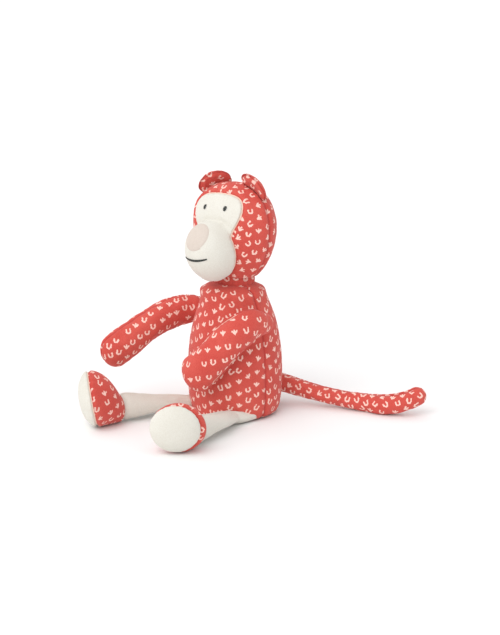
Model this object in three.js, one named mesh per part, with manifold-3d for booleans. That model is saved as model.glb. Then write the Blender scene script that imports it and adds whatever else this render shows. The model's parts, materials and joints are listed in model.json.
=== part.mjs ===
// A seated stuffed monkey: jersey covers sewn over fibre filling, with a turning neck, posable arms
// and legs, floppy ears and a long tail. Millimetres, +Z up. The monkey looks along -Y, its left hand
// is on +X, and the origin is the middle of the flat seat that it rests on.
import * as THREE from "three";
import { ParametricGeometry } from "three/addons/geometries/ParametricGeometry.js";
import { mergeVertices } from "three/addons/utils/BufferGeometryUtils.js";
import Module from "manifold-3d";

const wasm = await Module();
wasm.setup();

// ---- cloth and clearances ----
const FABRIC = 1.2; // jersey with its backing
const GAP = 0.3; // between two pieces that are sewn or laid together
const ROOT_CLEARANCE = 1.6; // round the rolled root of a limb, which turns in its socket
const EAR_CLEARANCE = 2; // between an ear's rolled base and the head
const EMBROIDERY = 0.9; // raised satin stitch and flat appliqué

// ---- body ----
const SEAT_RADIUS = 33;
const BODY_HEIGHT = 133.5;
const BODY_RADIUS = 48;
const BODY_DEPTH_SHARE = 0.96; // the pear is a little shallower than it is wide
const SHOULDER_RADIUS = 28;
const BEAN_POUCH_HEIGHT = 26;

// ---- neck and head ----
const NECK_BALL_RADIUS = 19;
const NECK_HEIGHT = 136;
const HEAD_BASE = 137.5; // lowest edge of the head cover
const HEAD_HEIGHT = 96.5;
const HEAD_HALF_WIDTH = 47;
const HEAD_FRONT_SHARE = 0.73; // the face side is flatter than the back of the head
const HEAD_BACK_SHARE = 0.81;
const HEAD_TURN = THREE.MathUtils.degToRad(7.5); // towards its left
const HEAD_TILT = THREE.MathUtils.degToRad(4); // its right ear lower

// ---- face ----
const FACE_HALF_WIDTH = 31.5;
const FACE_TOP = 37.5; // above the middle of the head
const MUZZLE_SIZE = new THREE.Vector3(25.5, 27, 31); // half sizes
const MUZZLE_FORWARD = 35.5;
const MUZZLE_DROP = 16; // below the middle of the head
const MUZZLE_TILT = THREE.MathUtils.degToRad(22);
const NOSE_HALF_WIDTH = 13;
const NOSE_HALF_HEIGHT = 13.5;
const NOSE_RISE = THREE.MathUtils.degToRad(46); // how far up the muzzle the nose patch sits
const EYE_SPACING = 26;
const EYE_HEIGHT = 24.5; // above the middle of the head
const EYE_SIZE = 2.6;
const MOUTH_SPREAD = THREE.MathUtils.degToRad(34);
const MOUTH_THICKNESS = 2.2;

// ---- ears ----
const EAR_HALF_WIDTH = 17;
const EAR_HALF_HEIGHT = 14;
const EAR_HALF_THICKNESS = 4.6;
// degrees: round from the crown along the side seam, lean forward, and twist towards the left;
// standoff is from the head's surface to the middle of the ear
const EAR_SET = {
  left: { round: 36, lean: 28, twist: 0, standoff: 5.5 },
  right: { round: -29, lean: 46, twist: 30, standoff: 4 },
};

// ---- limbs ----
const ARM_ROOT_RADIUS = 12;
const SHOULDER_HEIGHT = 99;
const SHOULDER_STANDOFF = 4; // from the body's surface to the middle of a rolled root
const LEG_ROOT_RADIUS = 9.5;
const LEG_RADIUS = 14;
const HIP_HEIGHT = 11;
const HIP_BEARING = 44; // degrees from straight ahead
const LEG_BEARING = { left: 20, right: -9 };
const FOOT_RADIUS = { left: 25.5, right: 27.5 };
const FOOT_LENGTH = 32; // ankle to sole seam
const SOLE_TURN = 27; // degrees that each sole faces outwards from its leg
const SOLE_CROWN = 13;
const LEG_LENGTH = 75; // hip to ankle
const WAD_SHARE = 0.68; // the wad in a rolled root, against the root's radius
const TAIL_ROOT_RADIUS = 9.5;
const TAIL_RADIUS = 8.5;
const TAIL_TIP_RADIUS = 10;
const TAIL_ROOT_HEIGHT = 23.5;

const SIDES = 14;
const BALL_SIDES = 12;

const V = (x, y, z) => new THREE.Vector3(x, y, z);
const UP = V(0, 0, 1);

// ---- solids ----

/** A geometry's surface with shared corners merged and collapsed triangles dropped. */
function welded(geometry) {
  const bare = geometry.clone();
  bare.deleteAttribute("normal");
  bare.deleteAttribute("uv");
  const merged = mergeVertices(bare, 1e-3);
  const corners = [...merged.index.array];
  const kept = [];
  for (let i = 0; i < corners.length; i += 3) {
    const [a, b, c] = corners.slice(i, i + 3);
    if (a !== b && b !== c && c !== a) kept.push(a, b, c);
  }
  merged.setIndex(kept);
  return merged;
}

/** A manifold solid from a closed geometry, turned so that its faces point outwards. */
function solidOf(geometry) {
  const surface = welded(geometry);
  const make = (triVerts) =>
    new wasm.Manifold(
      new wasm.Mesh({ numProp: 3, vertProperties: surface.attributes.position.array, triVerts }),
    );
  const forward = new Uint32Array(surface.index.array);
  const solid = make(forward);
  return solid.volume() > 0 ? solid : make(forward.slice().reverse());
}

/** The same closed geometry drawn in by a distance along its own normals. */
function drawnIn(geometry, distance) {
  const surface = welded(geometry);
  surface.computeVertexNormals();
  const outward = Math.sign(signedVolume(surface));
  const position = surface.attributes.position;
  const normal = surface.attributes.normal;
  for (let i = 0; i < position.count; i++) {
    const point = V(position.getX(i), position.getY(i), position.getZ(i));
    point.addScaledVector(V(normal.getX(i), normal.getY(i), normal.getZ(i)), -outward * distance);
    position.setXYZ(i, point.x, point.y, point.z);
  }
  return surface;
}

/** Six times the volume that an indexed surface encloses, with its sign. */
function signedVolume(surface) {
  const corner = (i) => V().fromBufferAttribute(surface.attributes.position, surface.index.array[i]);
  let sum = 0;
  for (let i = 0; i < surface.index.count; i += 3)
    sum += corner(i).dot(corner(i + 1).cross(corner(i + 2)));
  return sum;
}

/** Outer surface, cloth inside and filling of one stuffed shape, as three nested solids. */
function stuffed(geometry) {
  return {
    outer: solidOf(geometry),
    lining: solidOf(drawnIn(geometry, FABRIC)),
    filling: solidOf(drawnIn(geometry, FABRIC + GAP)),
    around: (clearance) => solidOf(drawnIn(geometry, -clearance)),
  };
}

const REACH = 600;

/** A half-space slab on the side of a plane that its normal points to, set off by half a gap. */
function halfSpace(point, normal, offset = GAP / 2) {
  const box = new THREE.BoxGeometry(REACH, REACH, REACH);
  const turn = new THREE.Quaternion().setFromUnitVectors(UP, normal.clone().normalize());
  box.translate(0, 0, REACH / 2 + offset);
  box.applyQuaternion(turn);
  box.translate(point.x, point.y, point.z);
  return solidOf(box);
}

function ball(centre, radius, detail = BALL_SIDES) {
  const sphere = new THREE.SphereGeometry(radius, detail, Math.round(detail * 0.6));
  sphere.translate(centre.x, centre.y, centre.z);
  return solidOf(sphere);
}

/** The hollow in which a ball turns, with room for the ball's own facets. */
function hollow(centre, radius) {
  return ball(centre, (radius + ROOT_CLEARANCE) / Math.cos(Math.PI / BALL_SIDES));
}

function ellipsoid(centre, size, turn = new THREE.Quaternion(), detail = SIDES) {
  const sphere = new THREE.SphereGeometry(1, detail, Math.round(detail * 0.6));
  sphere.rotateX(Math.PI / 2);
  sphere.scale(size.x, size.y, size.z);
  sphere.applyQuaternion(turn);
  sphere.translate(centre.x, centre.y, centre.z);
  return sphere;
}

/** A pear or egg turned about +Z from its half outline, then made shallower in front and behind. */
function turned(outline, frontShare, backShare) {
  const profile = new THREE.LatheGeometry(
    outline.map(([radius, height]) => new THREE.Vector2(radius, height)),
    SIDES + 2,
  );
  profile.rotateX(Math.PI / 2);
  const position = profile.attributes.position;
  for (let i = 0; i < position.count; i++) {
    const depth = position.getY(i);
    position.setY(i, depth * (depth < 0 ? frontShare : backShare));
  }
  return profile;
}

/** Linear interpolation through evenly spaced values. */
function along(values, share) {
  const place = Math.min(share, 0.9999) * (values.length - 1);
  const first = Math.floor(place);
  return THREE.MathUtils.lerp(values[first], values[first + 1], place - first);
}

/**
 * A stuffed tube with rounded ends. The path starts at the middle of the rolled root; width and
 * thickness are half sizes at even steps along it, and flat(point) is the direction of its thickness.
 */
function tube({ path, root, width, thickness, flat, stacks = 11, sides = SIDES - 4 }) {
  const curve = new THREE.CatmullRomCurve3(path);
  const first = curve.getTangentAt(0);
  const length = curve.getLength();
  const endRadius = Math.min(along(width, 1), along(thickness, 1));
  const shape = (u, v, target) => {
    const distance = -root + ((1 - Math.cos(Math.PI * v)) / 2) * (length + root);
    const share = THREE.MathUtils.clamp(distance / length, 0, 1);
    const centre =
      distance < 0 ? path[0].clone().addScaledVector(first, distance) : curve.getPointAt(share);
    const tangent = distance < 0 ? first : curve.getTangentAt(share);
    const thin = flat(centre).clone();
    thin.addScaledVector(tangent, -thin.dot(tangent)).normalize();
    const wide = tangent.clone().cross(thin);
    const toEnd = Math.min(1, (length - distance) / endRadius);
    const toRoot = Math.min(1, (distance + root) / root);
    const cap = Math.sqrt(Math.max(0, 1 - (1 - toEnd) ** 2)) * Math.sqrt(1 - (1 - toRoot) ** 2);
    const angle = 2 * Math.PI * u;
    target.copy(centre);
    target.addScaledVector(wide, cap * along(width, share) * Math.cos(angle));
    target.addScaledVector(thin, cap * along(thickness, share) * Math.sin(angle));
  };
  return new ParametricGeometry(shape, sides, stacks);
}

// ---- scene ----

const FINISHES = {
  print_jersey: new THREE.MeshStandardMaterial({ color: 0xdc5a4e, roughness: 0.9, metalness: 0 }),
  cream_jersey: new THREE.MeshStandardMaterial({ color: 0xece8dc, roughness: 0.88, metalness: 0 }),
  nose_jersey: new THREE.MeshStandardMaterial({ color: 0xe4d3c8, roughness: 0.9, metalness: 0 }),
  black_thread: new THREE.MeshStandardMaterial({ color: 0x1d2220, roughness: 0.55, metalness: 0 }),
  fibre_filling: new THREE.MeshStandardMaterial({ color: 0xf4f2ec, roughness: 1, metalness: 0 }),
};

const monkey = new THREE.Group();

function add(parent, name, solid, finish) {
  const { vertProperties, triVerts, numProp } = solid.getMesh();
  const geometry = new THREE.BufferGeometry();
  const corners = new Float32Array((vertProperties.length / numProp) * 3);
  for (let i = 0; i < corners.length / 3; i++)
    corners.set(vertProperties.subarray(i * numProp, i * numProp + 3), i * 3);
  geometry.setAttribute("position", new THREE.BufferAttribute(corners, 3));
  geometry.setIndex(new THREE.BufferAttribute(triVerts, 1));
  geometry.computeVertexNormals();
  const mesh = new THREE.Mesh(geometry, FINISHES[finish]);
  mesh.name = name;
  parent.add(mesh);
}

/** A body of the toy, with the hinge that it turns on where it moves. */
function group(name, hinge = null) {
  const made = new THREE.Group();
  made.name = name;
  made.userData.hinge = hinge;
  monkey.add(made);
  return made;
}

/** The hinge that raises a limb which leads away from its pivot in a direction. */
function liftHinge(pivot, ahead) {
  return { pivot, axis: ahead.clone().cross(UP).normalize() };
}

/** The two cover panels and the filling of a stuffed shape, parted along a seam plane. */
function addPadded(parent, name, pad, { point, normal, panels, finish, trim = (solid) => solid, wad }) {
  const cover = trim(pad.outer).subtract(pad.lining);
  const flipped = normal.clone().negate();
  add(parent, `${name}_${panels[0]}`, cover.intersect(halfSpace(point, normal)), finish);
  add(parent, `${name}_${panels[1]}`, cover.intersect(halfSpace(point, flipped)), finish);
  const filling = trim(pad.filling);
  add(parent, `${name}_filling`, wad ? besideWad(filling, wad) : filling, "fibre_filling");
}

/** Filling that starts beyond the ball of wadding in its own rolled root. */
function besideWad(filling, { centre, radius, ahead }) {
  return filling.intersect(halfSpace(centre, ahead)).subtract(hollow(centre, radius));
}

/** The ball of wadding that a limb's rolled root turns on. */
function addWad(name, { centre, radius }, axis) {
  const root = group(name, { pivot: centre, axis });
  add(root, `${name}_wad`, ball(centre, radius), "fibre_filling");
}

// ---- body shape, on which the other pieces seat ----

const bodyOutline = [
  [0, 0],
  [SEAT_RADIUS, 0],
  [BODY_RADIUS - 6, 5],
  [BODY_RADIUS - 1.5, 15],
  [BODY_RADIUS, 30],
  [BODY_RADIUS, 48],
  [BODY_RADIUS - 2.5, 76],
  [BODY_RADIUS - 6.5, 96],
  [SHOULDER_RADIUS + 7.5, 113],
  [SHOULDER_RADIUS, BODY_HEIGHT - 6],
  [NECK_BALL_RADIUS, BODY_HEIGHT - 1],
  [0, BODY_HEIGHT],
];
const body = stuffed(turned(bodyOutline, BODY_DEPTH_SHARE, BODY_DEPTH_SHARE));

/** The pear's half width at a height. */
function bodyRadiusAt(height) {
  const above = bodyOutline.findIndex(([, z]) => z > height);
  const [lowRadius, low] = bodyOutline[above - 1];
  const [highRadius, high] = bodyOutline[above];
  return THREE.MathUtils.mapLinear(height, low, high, lowRadius, highRadius);
}

/** A point off the pear's surface, at a bearing from straight ahead towards the left hand. */
function onBody(bearing, height, standoff) {
  const radius = bodyRadiusAt(height) + standoff;
  const turn = THREE.MathUtils.degToRad(bearing);
  return V(radius * Math.sin(turn), -radius * BODY_DEPTH_SHARE * Math.cos(turn), height);
}

const neckMiddle = V(0, 0, NECK_HEIGHT);

const shoulders = {
  left: onBody(87, SHOULDER_HEIGHT, SHOULDER_STANDOFF),
  right: onBody(-87, SHOULDER_HEIGHT, SHOULDER_STANDOFF),
};

const hips = {
  left: onBody(HIP_BEARING, HIP_HEIGHT, SHOULDER_STANDOFF),
  right: onBody(-HIP_BEARING, HIP_HEIGHT, SHOULDER_STANDOFF),
};

const tailRoot = V(0, BODY_DEPTH_SHARE * bodyRadiusAt(TAIL_ROOT_HEIGHT) + 2, TAIL_ROOT_HEIGHT);

// ---- torso ----

const sockets = [
  [neckMiddle, NECK_BALL_RADIUS],
  [shoulders.left, ARM_ROOT_RADIUS],
  [shoulders.right, ARM_ROOT_RADIUS],
  [hips.left, LEG_ROOT_RADIUS],
  [hips.right, LEG_ROOT_RADIUS],
  [tailRoot, TAIL_ROOT_RADIUS],
];

/** Cuts the hollow in which each rolled root turns. */
function withSockets(solid) {
  return sockets.reduce(
    (left, [centre, radius]) => left.subtract(hollow(centre, radius)),
    solid,
  );
}

/** The body with room round it, apart from the ball in which one limb's rolled root turns. */
function bodyBeside(root, radius) {
  return body.around(ROOT_CLEARANCE).subtract(ball(root, radius));
}

const seatDisc = (radius, height) => {
  const disc = new THREE.CylinderGeometry(radius, radius, height, SIDES + 2);
  disc.rotateX(Math.PI / 2);
  return disc;
};

function buildTorso() {
  const torso = group("torso");
  const seatHole = solidOf(seatDisc(SEAT_RADIUS, 4 * FABRIC));
  const cover = withSockets(body.outer.subtract(body.lining)).subtract(seatHole);
  const front = halfSpace(V(0, 0, 0), V(0, -1, 0));
  const back = halfSpace(V(0, 0, 0), V(0, 1, 0));
  add(torso, "body_front_panel", cover.intersect(front), "print_jersey");
  add(torso, "body_back_panel", cover.intersect(back), "print_jersey");

  const seat = seatDisc(SEAT_RADIUS - GAP, FABRIC);
  seat.translate(0, 0, FABRIC / 2);
  add(torso, "seat_panel", solidOf(seat), "print_jersey");

  const pouchTop = V(0, 0, BEAN_POUCH_HEIGHT);
  const inside = withSockets(body.filling);
  const pouch = inside.intersect(halfSpace(pouchTop, V(0, 0, -1)));
  const filling = inside.intersect(halfSpace(pouchTop, UP));
  add(torso, "bean_pouch", pouch, "fibre_filling");
  add(torso, "body_filling", filling, "fibre_filling");
}

// ---- head ----

const headMiddle = HEAD_BASE + HEAD_HEIGHT / 2;
const upper = HEAD_HEIGHT / 2;
const headOutline = [
  [0, headMiddle - upper],
  [NECK_BALL_RADIUS, headMiddle - upper + 0.5],
  [NECK_BALL_RADIUS + 4, headMiddle - upper + 3],
  [HEAD_HALF_WIDTH * 0.64, headMiddle - upper * 0.8],
  [HEAD_HALF_WIDTH * 0.83, headMiddle - upper * 0.55],
  [HEAD_HALF_WIDTH * 0.95, headMiddle - upper * 0.25],
  [HEAD_HALF_WIDTH, headMiddle + upper * 0.08],
  [HEAD_HALF_WIDTH * 0.97, headMiddle + upper * 0.32],
  [HEAD_HALF_WIDTH * 0.86, headMiddle + upper * 0.6],
  [HEAD_HALF_WIDTH * 0.64, headMiddle + upper * 0.82],
  [HEAD_HALF_WIDTH * 0.34, headMiddle + upper * 0.96],
  [0, headMiddle + upper],
];
const head = stuffed(turned(headOutline, HEAD_FRONT_SHARE, HEAD_BACK_SHARE));

const muzzleMiddle = V(0, -MUZZLE_FORWARD, headMiddle - MUZZLE_DROP);
const muzzleTurn = new THREE.Quaternion().setFromAxisAngle(V(1, 0, 0), MUZZLE_TILT);
const muzzle = stuffed(ellipsoid(muzzleMiddle, MUZZLE_SIZE, muzzleTurn, SIDES + 2));

/** The outline of the cream face seen from the front: a wide brow over a narrower chin. */
function faceSlab(margin) {
  const half = FACE_HALF_WIDTH + margin;
  const top = FACE_TOP + margin;
  const bottom = -MUZZLE_DROP - MUZZLE_SIZE.z * 0.6 - margin;
  const outline = new THREE.Shape();
  outline.moveTo(0, bottom);
  outline.bezierCurveTo(half * 0.75, bottom, half * 0.7, 0, half * 0.84, 8);
  outline.bezierCurveTo(half * 1.08, 18, half * 1.02, top * 0.85, half * 0.55, top);
  outline.bezierCurveTo(half * 0.25, top + 2, -half * 0.25, top + 2, -half * 0.55, top);
  outline.bezierCurveTo(-half * 1.02, top * 0.85, -half * 1.08, 18, -half * 0.84, 8);
  outline.bezierCurveTo(-half * 0.7, 0, -half * 0.75, bottom, 0, bottom);
  const slab = new THREE.ExtrudeGeometry(outline, {
    depth: REACH / 4,
    bevelEnabled: false,
    curveSegments: 5,
  });
  slab.rotateX(Math.PI / 2);
  slab.translate(0, -6, headMiddle);
  return solidOf(slab);
}

/** A raised patch: the part of an outward skin of the muzzle that a cutter covers. */
function onMuzzle(cutter) {
  const raised = muzzle.around(GAP + EMBROIDERY);
  const under = muzzle.around(GAP);
  return raised.subtract(under).intersect(cutter);
}

/** A point out on the muzzle, at a bearing to the left and a rise above level. */
function muzzleDirection(bearing, rise) {
  return V(
    Math.sin(bearing) * Math.cos(rise),
    -Math.cos(bearing) * Math.cos(rise),
    Math.sin(rise),
  );
}

function noseCutter() {
  const turn = new THREE.Quaternion().setFromAxisAngle(V(1, 0, 0), -NOSE_RISE);
  const rod = new THREE.CylinderGeometry(1, 1, 3 * MUZZLE_SIZE.z, SIDES);
  rod.scale(NOSE_HALF_WIDTH, 1, NOSE_HALF_HEIGHT);
  rod.translate(0, -1.5 * MUZZLE_SIZE.z, 0);
  rod.applyQuaternion(turn);
  rod.translate(muzzleMiddle.x, muzzleMiddle.y, muzzleMiddle.z);
  return solidOf(rod);
}

/** A ribbon that hangs round the front of the muzzle and rises a little towards its corners. */
function mouthCutter() {
  const steps = 10;
  const shape = (u, v, target) => {
    const bearing = THREE.MathUtils.lerp(-MOUTH_SPREAD, MOUTH_SPREAD, u);
    const rise = -0.14 + 0.06 * (bearing / MOUTH_SPREAD) ** 2;
    const corner = v * 4;
    const out = corner >= 1 && corner < 3 ? 1.3 : 0.7;
    const lift = (corner >= 2 && corner < 4 ? 0.5 : -0.5) * MOUTH_THICKNESS;
    target.copy(muzzleDirection(bearing, rise)).multiply(MUZZLE_SIZE).multiplyScalar(out);
    target.add(muzzleMiddle);
    target.z += lift;
  };
  return closedRibbon(shape, steps);
}

/** A bar swept through square sections and closed at both ends. */
function closedRibbon(shape, steps) {
  const position = [];
  const index = [];
  const point = V();
  for (let i = 0; i <= steps; i++)
    for (let corner = 0; corner < 4; corner++) {
      shape(i / steps, corner / 4, point);
      position.push(point.x, point.y, point.z);
    }
  for (let i = 0; i < steps; i++)
    for (let corner = 0; corner < 4; corner++) {
      const here = i * 4 + corner;
      const next = i * 4 + ((corner + 1) % 4);
      index.push(here, next, next + 4, here, next + 4, here + 4);
    }
  const last = steps * 4;
  index.push(0, 2, 1, 0, 3, 2, last, last + 1, last + 2, last, last + 2, last + 3);
  const bar = new THREE.BufferGeometry();
  bar.setAttribute("position", new THREE.Float32BufferAttribute(position, 3));
  bar.setIndex(index);
  return solidOf(bar);
}

function eye(side) {
  const rod = new THREE.CylinderGeometry(EYE_SIZE * 0.8, EYE_SIZE * 0.8, REACH / 4, 10);
  rod.scale(1, 1, 1.35);
  rod.translate(side * (EYE_SPACING / 2), -REACH / 8, headMiddle + EYE_HEIGHT);
  const raised = head.around(GAP + EMBROIDERY).subtract(head.around(GAP));
  return raised.intersect(solidOf(rod));
}

/** The move from straight ahead to the way the head is held. */
const headPose = new THREE.Matrix4()
  .makeTranslation(0, 0, headMiddle)
  .multiply(new THREE.Matrix4().makeRotationZ(HEAD_TURN))
  .multiply(new THREE.Matrix4().makeRotationY(-HEAD_TILT))
  .multiply(new THREE.Matrix4().makeTranslation(0, 0, -headMiddle));

const asHeld = (solid) => solid.transform(headPose.elements);

function buildHead() {
  const neck = group("neck", { pivot: neckMiddle, axis: UP });
  add(neck, "neck_ball", ball(neckMiddle, NECK_BALL_RADIUS), "print_jersey");

  const acrossHead = V(Math.cos(HEAD_TURN), Math.sin(HEAD_TURN), 0);
  const crown = group("head", { pivot: neckMiddle, axis: acrossHead });
  const addHeld = (name, solid, finish) =>
    add(crown, name, asHeld(solid).subtract(socket), finish);
  const socket = hollow(neckMiddle, NECK_BALL_RADIUS);
  const cover = head.outer.subtract(head.lining);
  const front = halfSpace(V(0, 0, 0), V(0, -1, 0));
  const back = halfSpace(V(0, 0, 0), V(0, 1, 0));
  addHeld("face_panel", cover.intersect(faceSlab(-GAP / 2)), "cream_jersey");
  addHeld("hood_front_panel", cover.intersect(front).subtract(faceSlab(GAP / 2)), "print_jersey");
  addHeld("hood_back_panel", cover.intersect(back), "print_jersey");
  addHeld("head_filling", head.filling, "fibre_filling");

  const skull = head.around(GAP);
  addHeld("muzzle_cover", muzzle.outer.subtract(muzzle.lining).subtract(skull), "cream_jersey");
  addHeld("muzzle_filling", muzzle.filling.subtract(skull), "fibre_filling");
  addHeld("nose_patch", onMuzzle(noseCutter()), "nose_jersey");
  addHeld("mouth_embroidery", onMuzzle(mouthCutter()), "black_thread");
  addHeld("eye_left", eye(1), "black_thread");
  addHeld("eye_right", eye(-1), "black_thread");
}

function buildEar(side) {
  const { round, lean, twist, standoff } = EAR_SET[side];
  const turn = THREE.MathUtils.degToRad(round);
  const seat = V(HEAD_HALF_WIDTH * Math.sin(turn), 0, headMiddle + upper * Math.cos(turn));
  const across = V(Math.cos(turn), 0, -Math.sin(turn));
  const out = V(Math.sin(turn), 0, Math.cos(turn));
  across.applyAxisAngle(out, THREE.MathUtils.degToRad(twist));
  out.applyAxisAngle(across, THREE.MathUtils.degToRad(lean));
  const backward = out.clone().cross(across);
  const middle = seat.clone().addScaledVector(out, standoff);
  const stand = new THREE.Matrix4().makeBasis(across, backward, out);
  const size = V(EAR_HALF_WIDTH, EAR_HALF_THICKNESS, EAR_HALF_HEIGHT);
  const turnTo = new THREE.Quaternion().setFromRotationMatrix(stand);
  const pad = stuffed(ellipsoid(middle, size, turnTo, BALL_SIDES));
  const skull = head.around(EAR_CLEARANCE);
  const cut = { outer: pad.outer.subtract(skull), filling: pad.filling.subtract(skull) };
  const cover = cut.outer.subtract(pad.lining);
  const ear = group(`ear_${side}`, {
    pivot: seat.addScaledVector(out, EAR_HALF_THICKNESS / 2).applyMatrix4(headPose),
    axis: across.clone().transformDirection(headPose),
  });
  const forward = backward.clone().negate();
  const frontHalf = cover.intersect(halfSpace(middle, forward));
  const backHalf = cover.intersect(halfSpace(middle, backward));
  add(ear, `ear_${side}_front`, asHeld(frontHalf), "print_jersey");
  add(ear, `ear_${side}_back`, asHeld(backHalf), "print_jersey");
  add(ear, `ear_${side}_filling`, asHeld(cut.filling), "fibre_filling");
}

// ---- arms ----

const outFromBody = (point) => V(point.x, point.y, 0).normalize();

const arms = {
  left: {
    // folded across the belly
    path: [
      shoulders.left,
      onBody(62, 102, 16),
      onBody(44, 92, 17.5),
      onBody(28, 75, 17.5),
      onBody(13, 57, 18),
      onBody(5, 48, 18.5),
    ],
    width: [ARM_ROOT_RADIUS, 18, 20.5, 21, 20.5, 19],
    thickness: [ARM_ROOT_RADIUS, 12.5, 14, 15, 15, 15],
    flat: outFromBody,
  },
  right: {
    // reaching forward and out
    path: [
      shoulders.right,
      shoulders.right.clone().add(V(-9, -26, -1)),
      shoulders.right.clone().add(V(-17, -52, -11)),
      shoulders.right.clone().add(V(-26, -79, -28)),
      shoulders.right.clone().add(V(-32, -103, -43.5)),
    ],
    width: [ARM_ROOT_RADIUS, 15, 16.5, 18.5, 17.5],
    thickness: [ARM_ROOT_RADIUS, 13, 14, 15, 14],
    flat: () => V(1, 0, 0),
  },
};

/** The upright axis about which each side's limbs turn outwards. */
const outwardTurn = { left: UP, right: UP.clone().negate() };

/** The wad in a rolled root, and the direction in which its limb leaves it. */
function wadAt(path, rootRadius) {
  return {
    centre: path[0],
    radius: WAD_SHARE * rootRadius,
    ahead: path[1].clone().sub(path[0]).normalize(),
  };
}

const armWads = {
  left: wadAt(arms.left.path, ARM_ROOT_RADIUS),
  right: wadAt(arms.right.path, ARM_ROOT_RADIUS),
};

function buildArm(side) {
  const arm = arms[side];
  const pad = stuffed(tube({ ...arm, root: ARM_ROOT_RADIUS }));
  const torso = bodyBeside(arm.path[0], ARM_ROOT_RADIUS);
  const middle = arm.path[Math.floor(arm.path.length / 2)];
  const reach = arm.path.at(-1).clone().sub(arm.path[0]);
  const parent = group(`arm_${side}`, liftHinge(arm.path[0], reach));
  addPadded(parent, `arm_${side}`, pad, {
    point: middle,
    normal: arm.flat(middle),
    panels: side === "left" ? ["outer", "inner"] : ["inner", "outer"],
    finish: "print_jersey",
    trim: (solid) => solid.subtract(torso),
    wad: armWads[side],
  });
  addWad(`shoulder_${side}`, armWads[side], outwardTurn[side]);
}

// ---- legs and feet ----

/** The leg's own directions, its sole's, and the point at a distance along it and a height. */
function legFrame(side) {
  const turn = THREE.MathUtils.degToRad(LEG_BEARING[side]);
  const ahead = V(Math.sin(turn), -Math.cos(turn), 0);
  const soleTurn = THREE.MathUtils.degToRad(side === "left" ? SOLE_TURN : -SOLE_TURN);
  return {
    ahead,
    soleTurn,
    soleAhead: ahead.clone().applyAxisAngle(UP, soleTurn),
    across: V(Math.cos(turn), Math.sin(turn), 0),
    at: (distance, height) =>
      V(hips[side].x, hips[side].y, height).addScaledVector(ahead, distance),
  };
}

/**
 * The flared foot with its crowned sole. Its rings turn outwards from the leg's direction at the
 * ankle to the sole's at its widest ring, and the crown stands straight out from there.
 */
function footGeometry(frame, side) {
  const big = FOOT_RADIUS[side];
  const stations = [
    // distance from the ankle, radius share, height of the middle
    [-2, 0, LEG_RADIUS + 1],
    [0, 0.52, LEG_RADIUS + 1],
    [10, 0.72, 0.74 * big],
    [22, 0.92, 0.94 * big],
    [FOOT_LENGTH, 1, big + 0.6],
    [FOOT_LENGTH + 7, 0.84, big + 0.8],
    [FOOT_LENGTH + 12, 0.5, big + 1],
    [FOOT_LENGTH + SOLE_CROWN, 0, big + 1],
  ];
  const shape = (u, v, target) => {
    const [distance, size, height] = stations[Math.round(v * (stations.length - 1))];
    const angle = 2 * Math.PI * u;
    const turn = frame.soleTurn * THREE.MathUtils.clamp(distance / FOOT_LENGTH, 0, 1);
    target.copy(frame.at(LEG_LENGTH + Math.min(distance, FOOT_LENGTH), height));
    target.addScaledVector(frame.soleAhead, Math.max(0, distance - FOOT_LENGTH));
    target.addScaledVector(frame.across.clone().applyAxisAngle(UP, turn), big * size * Math.cos(angle));
    target.addScaledVector(UP, big * size * Math.sin(angle));
  };
  return new ParametricGeometry(shape, SIDES, stations.length - 1);
}

function buildLeg(side) {
  const frame = legFrame(side);
  const leg = group(`leg_${side}`, liftHinge(hips[side], frame.ahead));
  const path = [
    hips[side],
    frame.at(30, LEG_RADIUS - 1.5),
    frame.at(LEG_LENGTH + 6, LEG_RADIUS + 0.8),
  ];
  const wad = wadAt(path, LEG_ROOT_RADIUS);
  const legPad = stuffed(
    tube({
      path,
      root: LEG_ROOT_RADIUS,
      width: [LEG_ROOT_RADIUS, LEG_RADIUS + 1, LEG_RADIUS + 0.5, LEG_RADIUS, LEG_RADIUS - 1],
      thickness: [LEG_ROOT_RADIUS, LEG_RADIUS - 3.5, LEG_RADIUS - 1.8, LEG_RADIUS, LEG_RADIUS - 1],
      flat: () => UP,
      stacks: 9,
    }),
  );
  const foot = stuffed(footGeometry(frame, side));
  const footSpace = solidOf(drawnIn(footGeometry(frame, side), -GAP));
  const torso = bodyBeside(hips[side], LEG_ROOT_RADIUS);
  addPadded(leg, `leg_${side}`, legPad, {
    point: hips[side],
    normal: frame.across,
    panels: side === "left" ? ["outer", "inner"] : ["inner", "outer"],
    finish: "cream_jersey",
    trim: (solid) => solid.subtract(footSpace).subtract(torso),
    wad,
  });
  addWad(`hip_${side}`, wad, outwardTurn[side]);

  const soleSeam = frame.at(LEG_LENGTH + FOOT_LENGTH, FOOT_RADIUS[side]);
  const cover = foot.outer.subtract(foot.lining);
  const toHeel = halfSpace(soleSeam, frame.soleAhead.clone().negate());
  const toCrown = halfSpace(soleSeam, frame.soleAhead);
  add(leg, `foot_${side}_upper`, cover.intersect(toHeel), "print_jersey");
  add(leg, `foot_${side}_sole`, cover.intersect(toCrown), "cream_jersey");
  add(leg, `foot_${side}_filling`, foot.filling, "fibre_filling");
}

// ---- tail ----

const tailBend = V(88, tailRoot.y + 48, TAIL_RADIUS + 1.2);

const tailBase = {
  path: [tailRoot, V(22, tailRoot.y + 14, 18), V(55, tailRoot.y + 32, 11.8), tailBend],
  root: TAIL_ROOT_RADIUS,
  girth: [TAIL_ROOT_RADIUS, TAIL_RADIUS + 0.8, TAIL_RADIUS, TAIL_RADIUS],
};

const tailTip = {
  path: [
    tailBend,
    V(111, tailRoot.y + 58, TAIL_TIP_RADIUS + 0.3),
    V(126, tailRoot.y + 70, 15.5),
    V(134, tailRoot.y + 83, 22.5),
  ],
  root: TAIL_RADIUS,
  girth: [TAIL_RADIUS, TAIL_TIP_RADIUS, TAIL_TIP_RADIUS, TAIL_TIP_RADIUS - 1],
};

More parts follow.
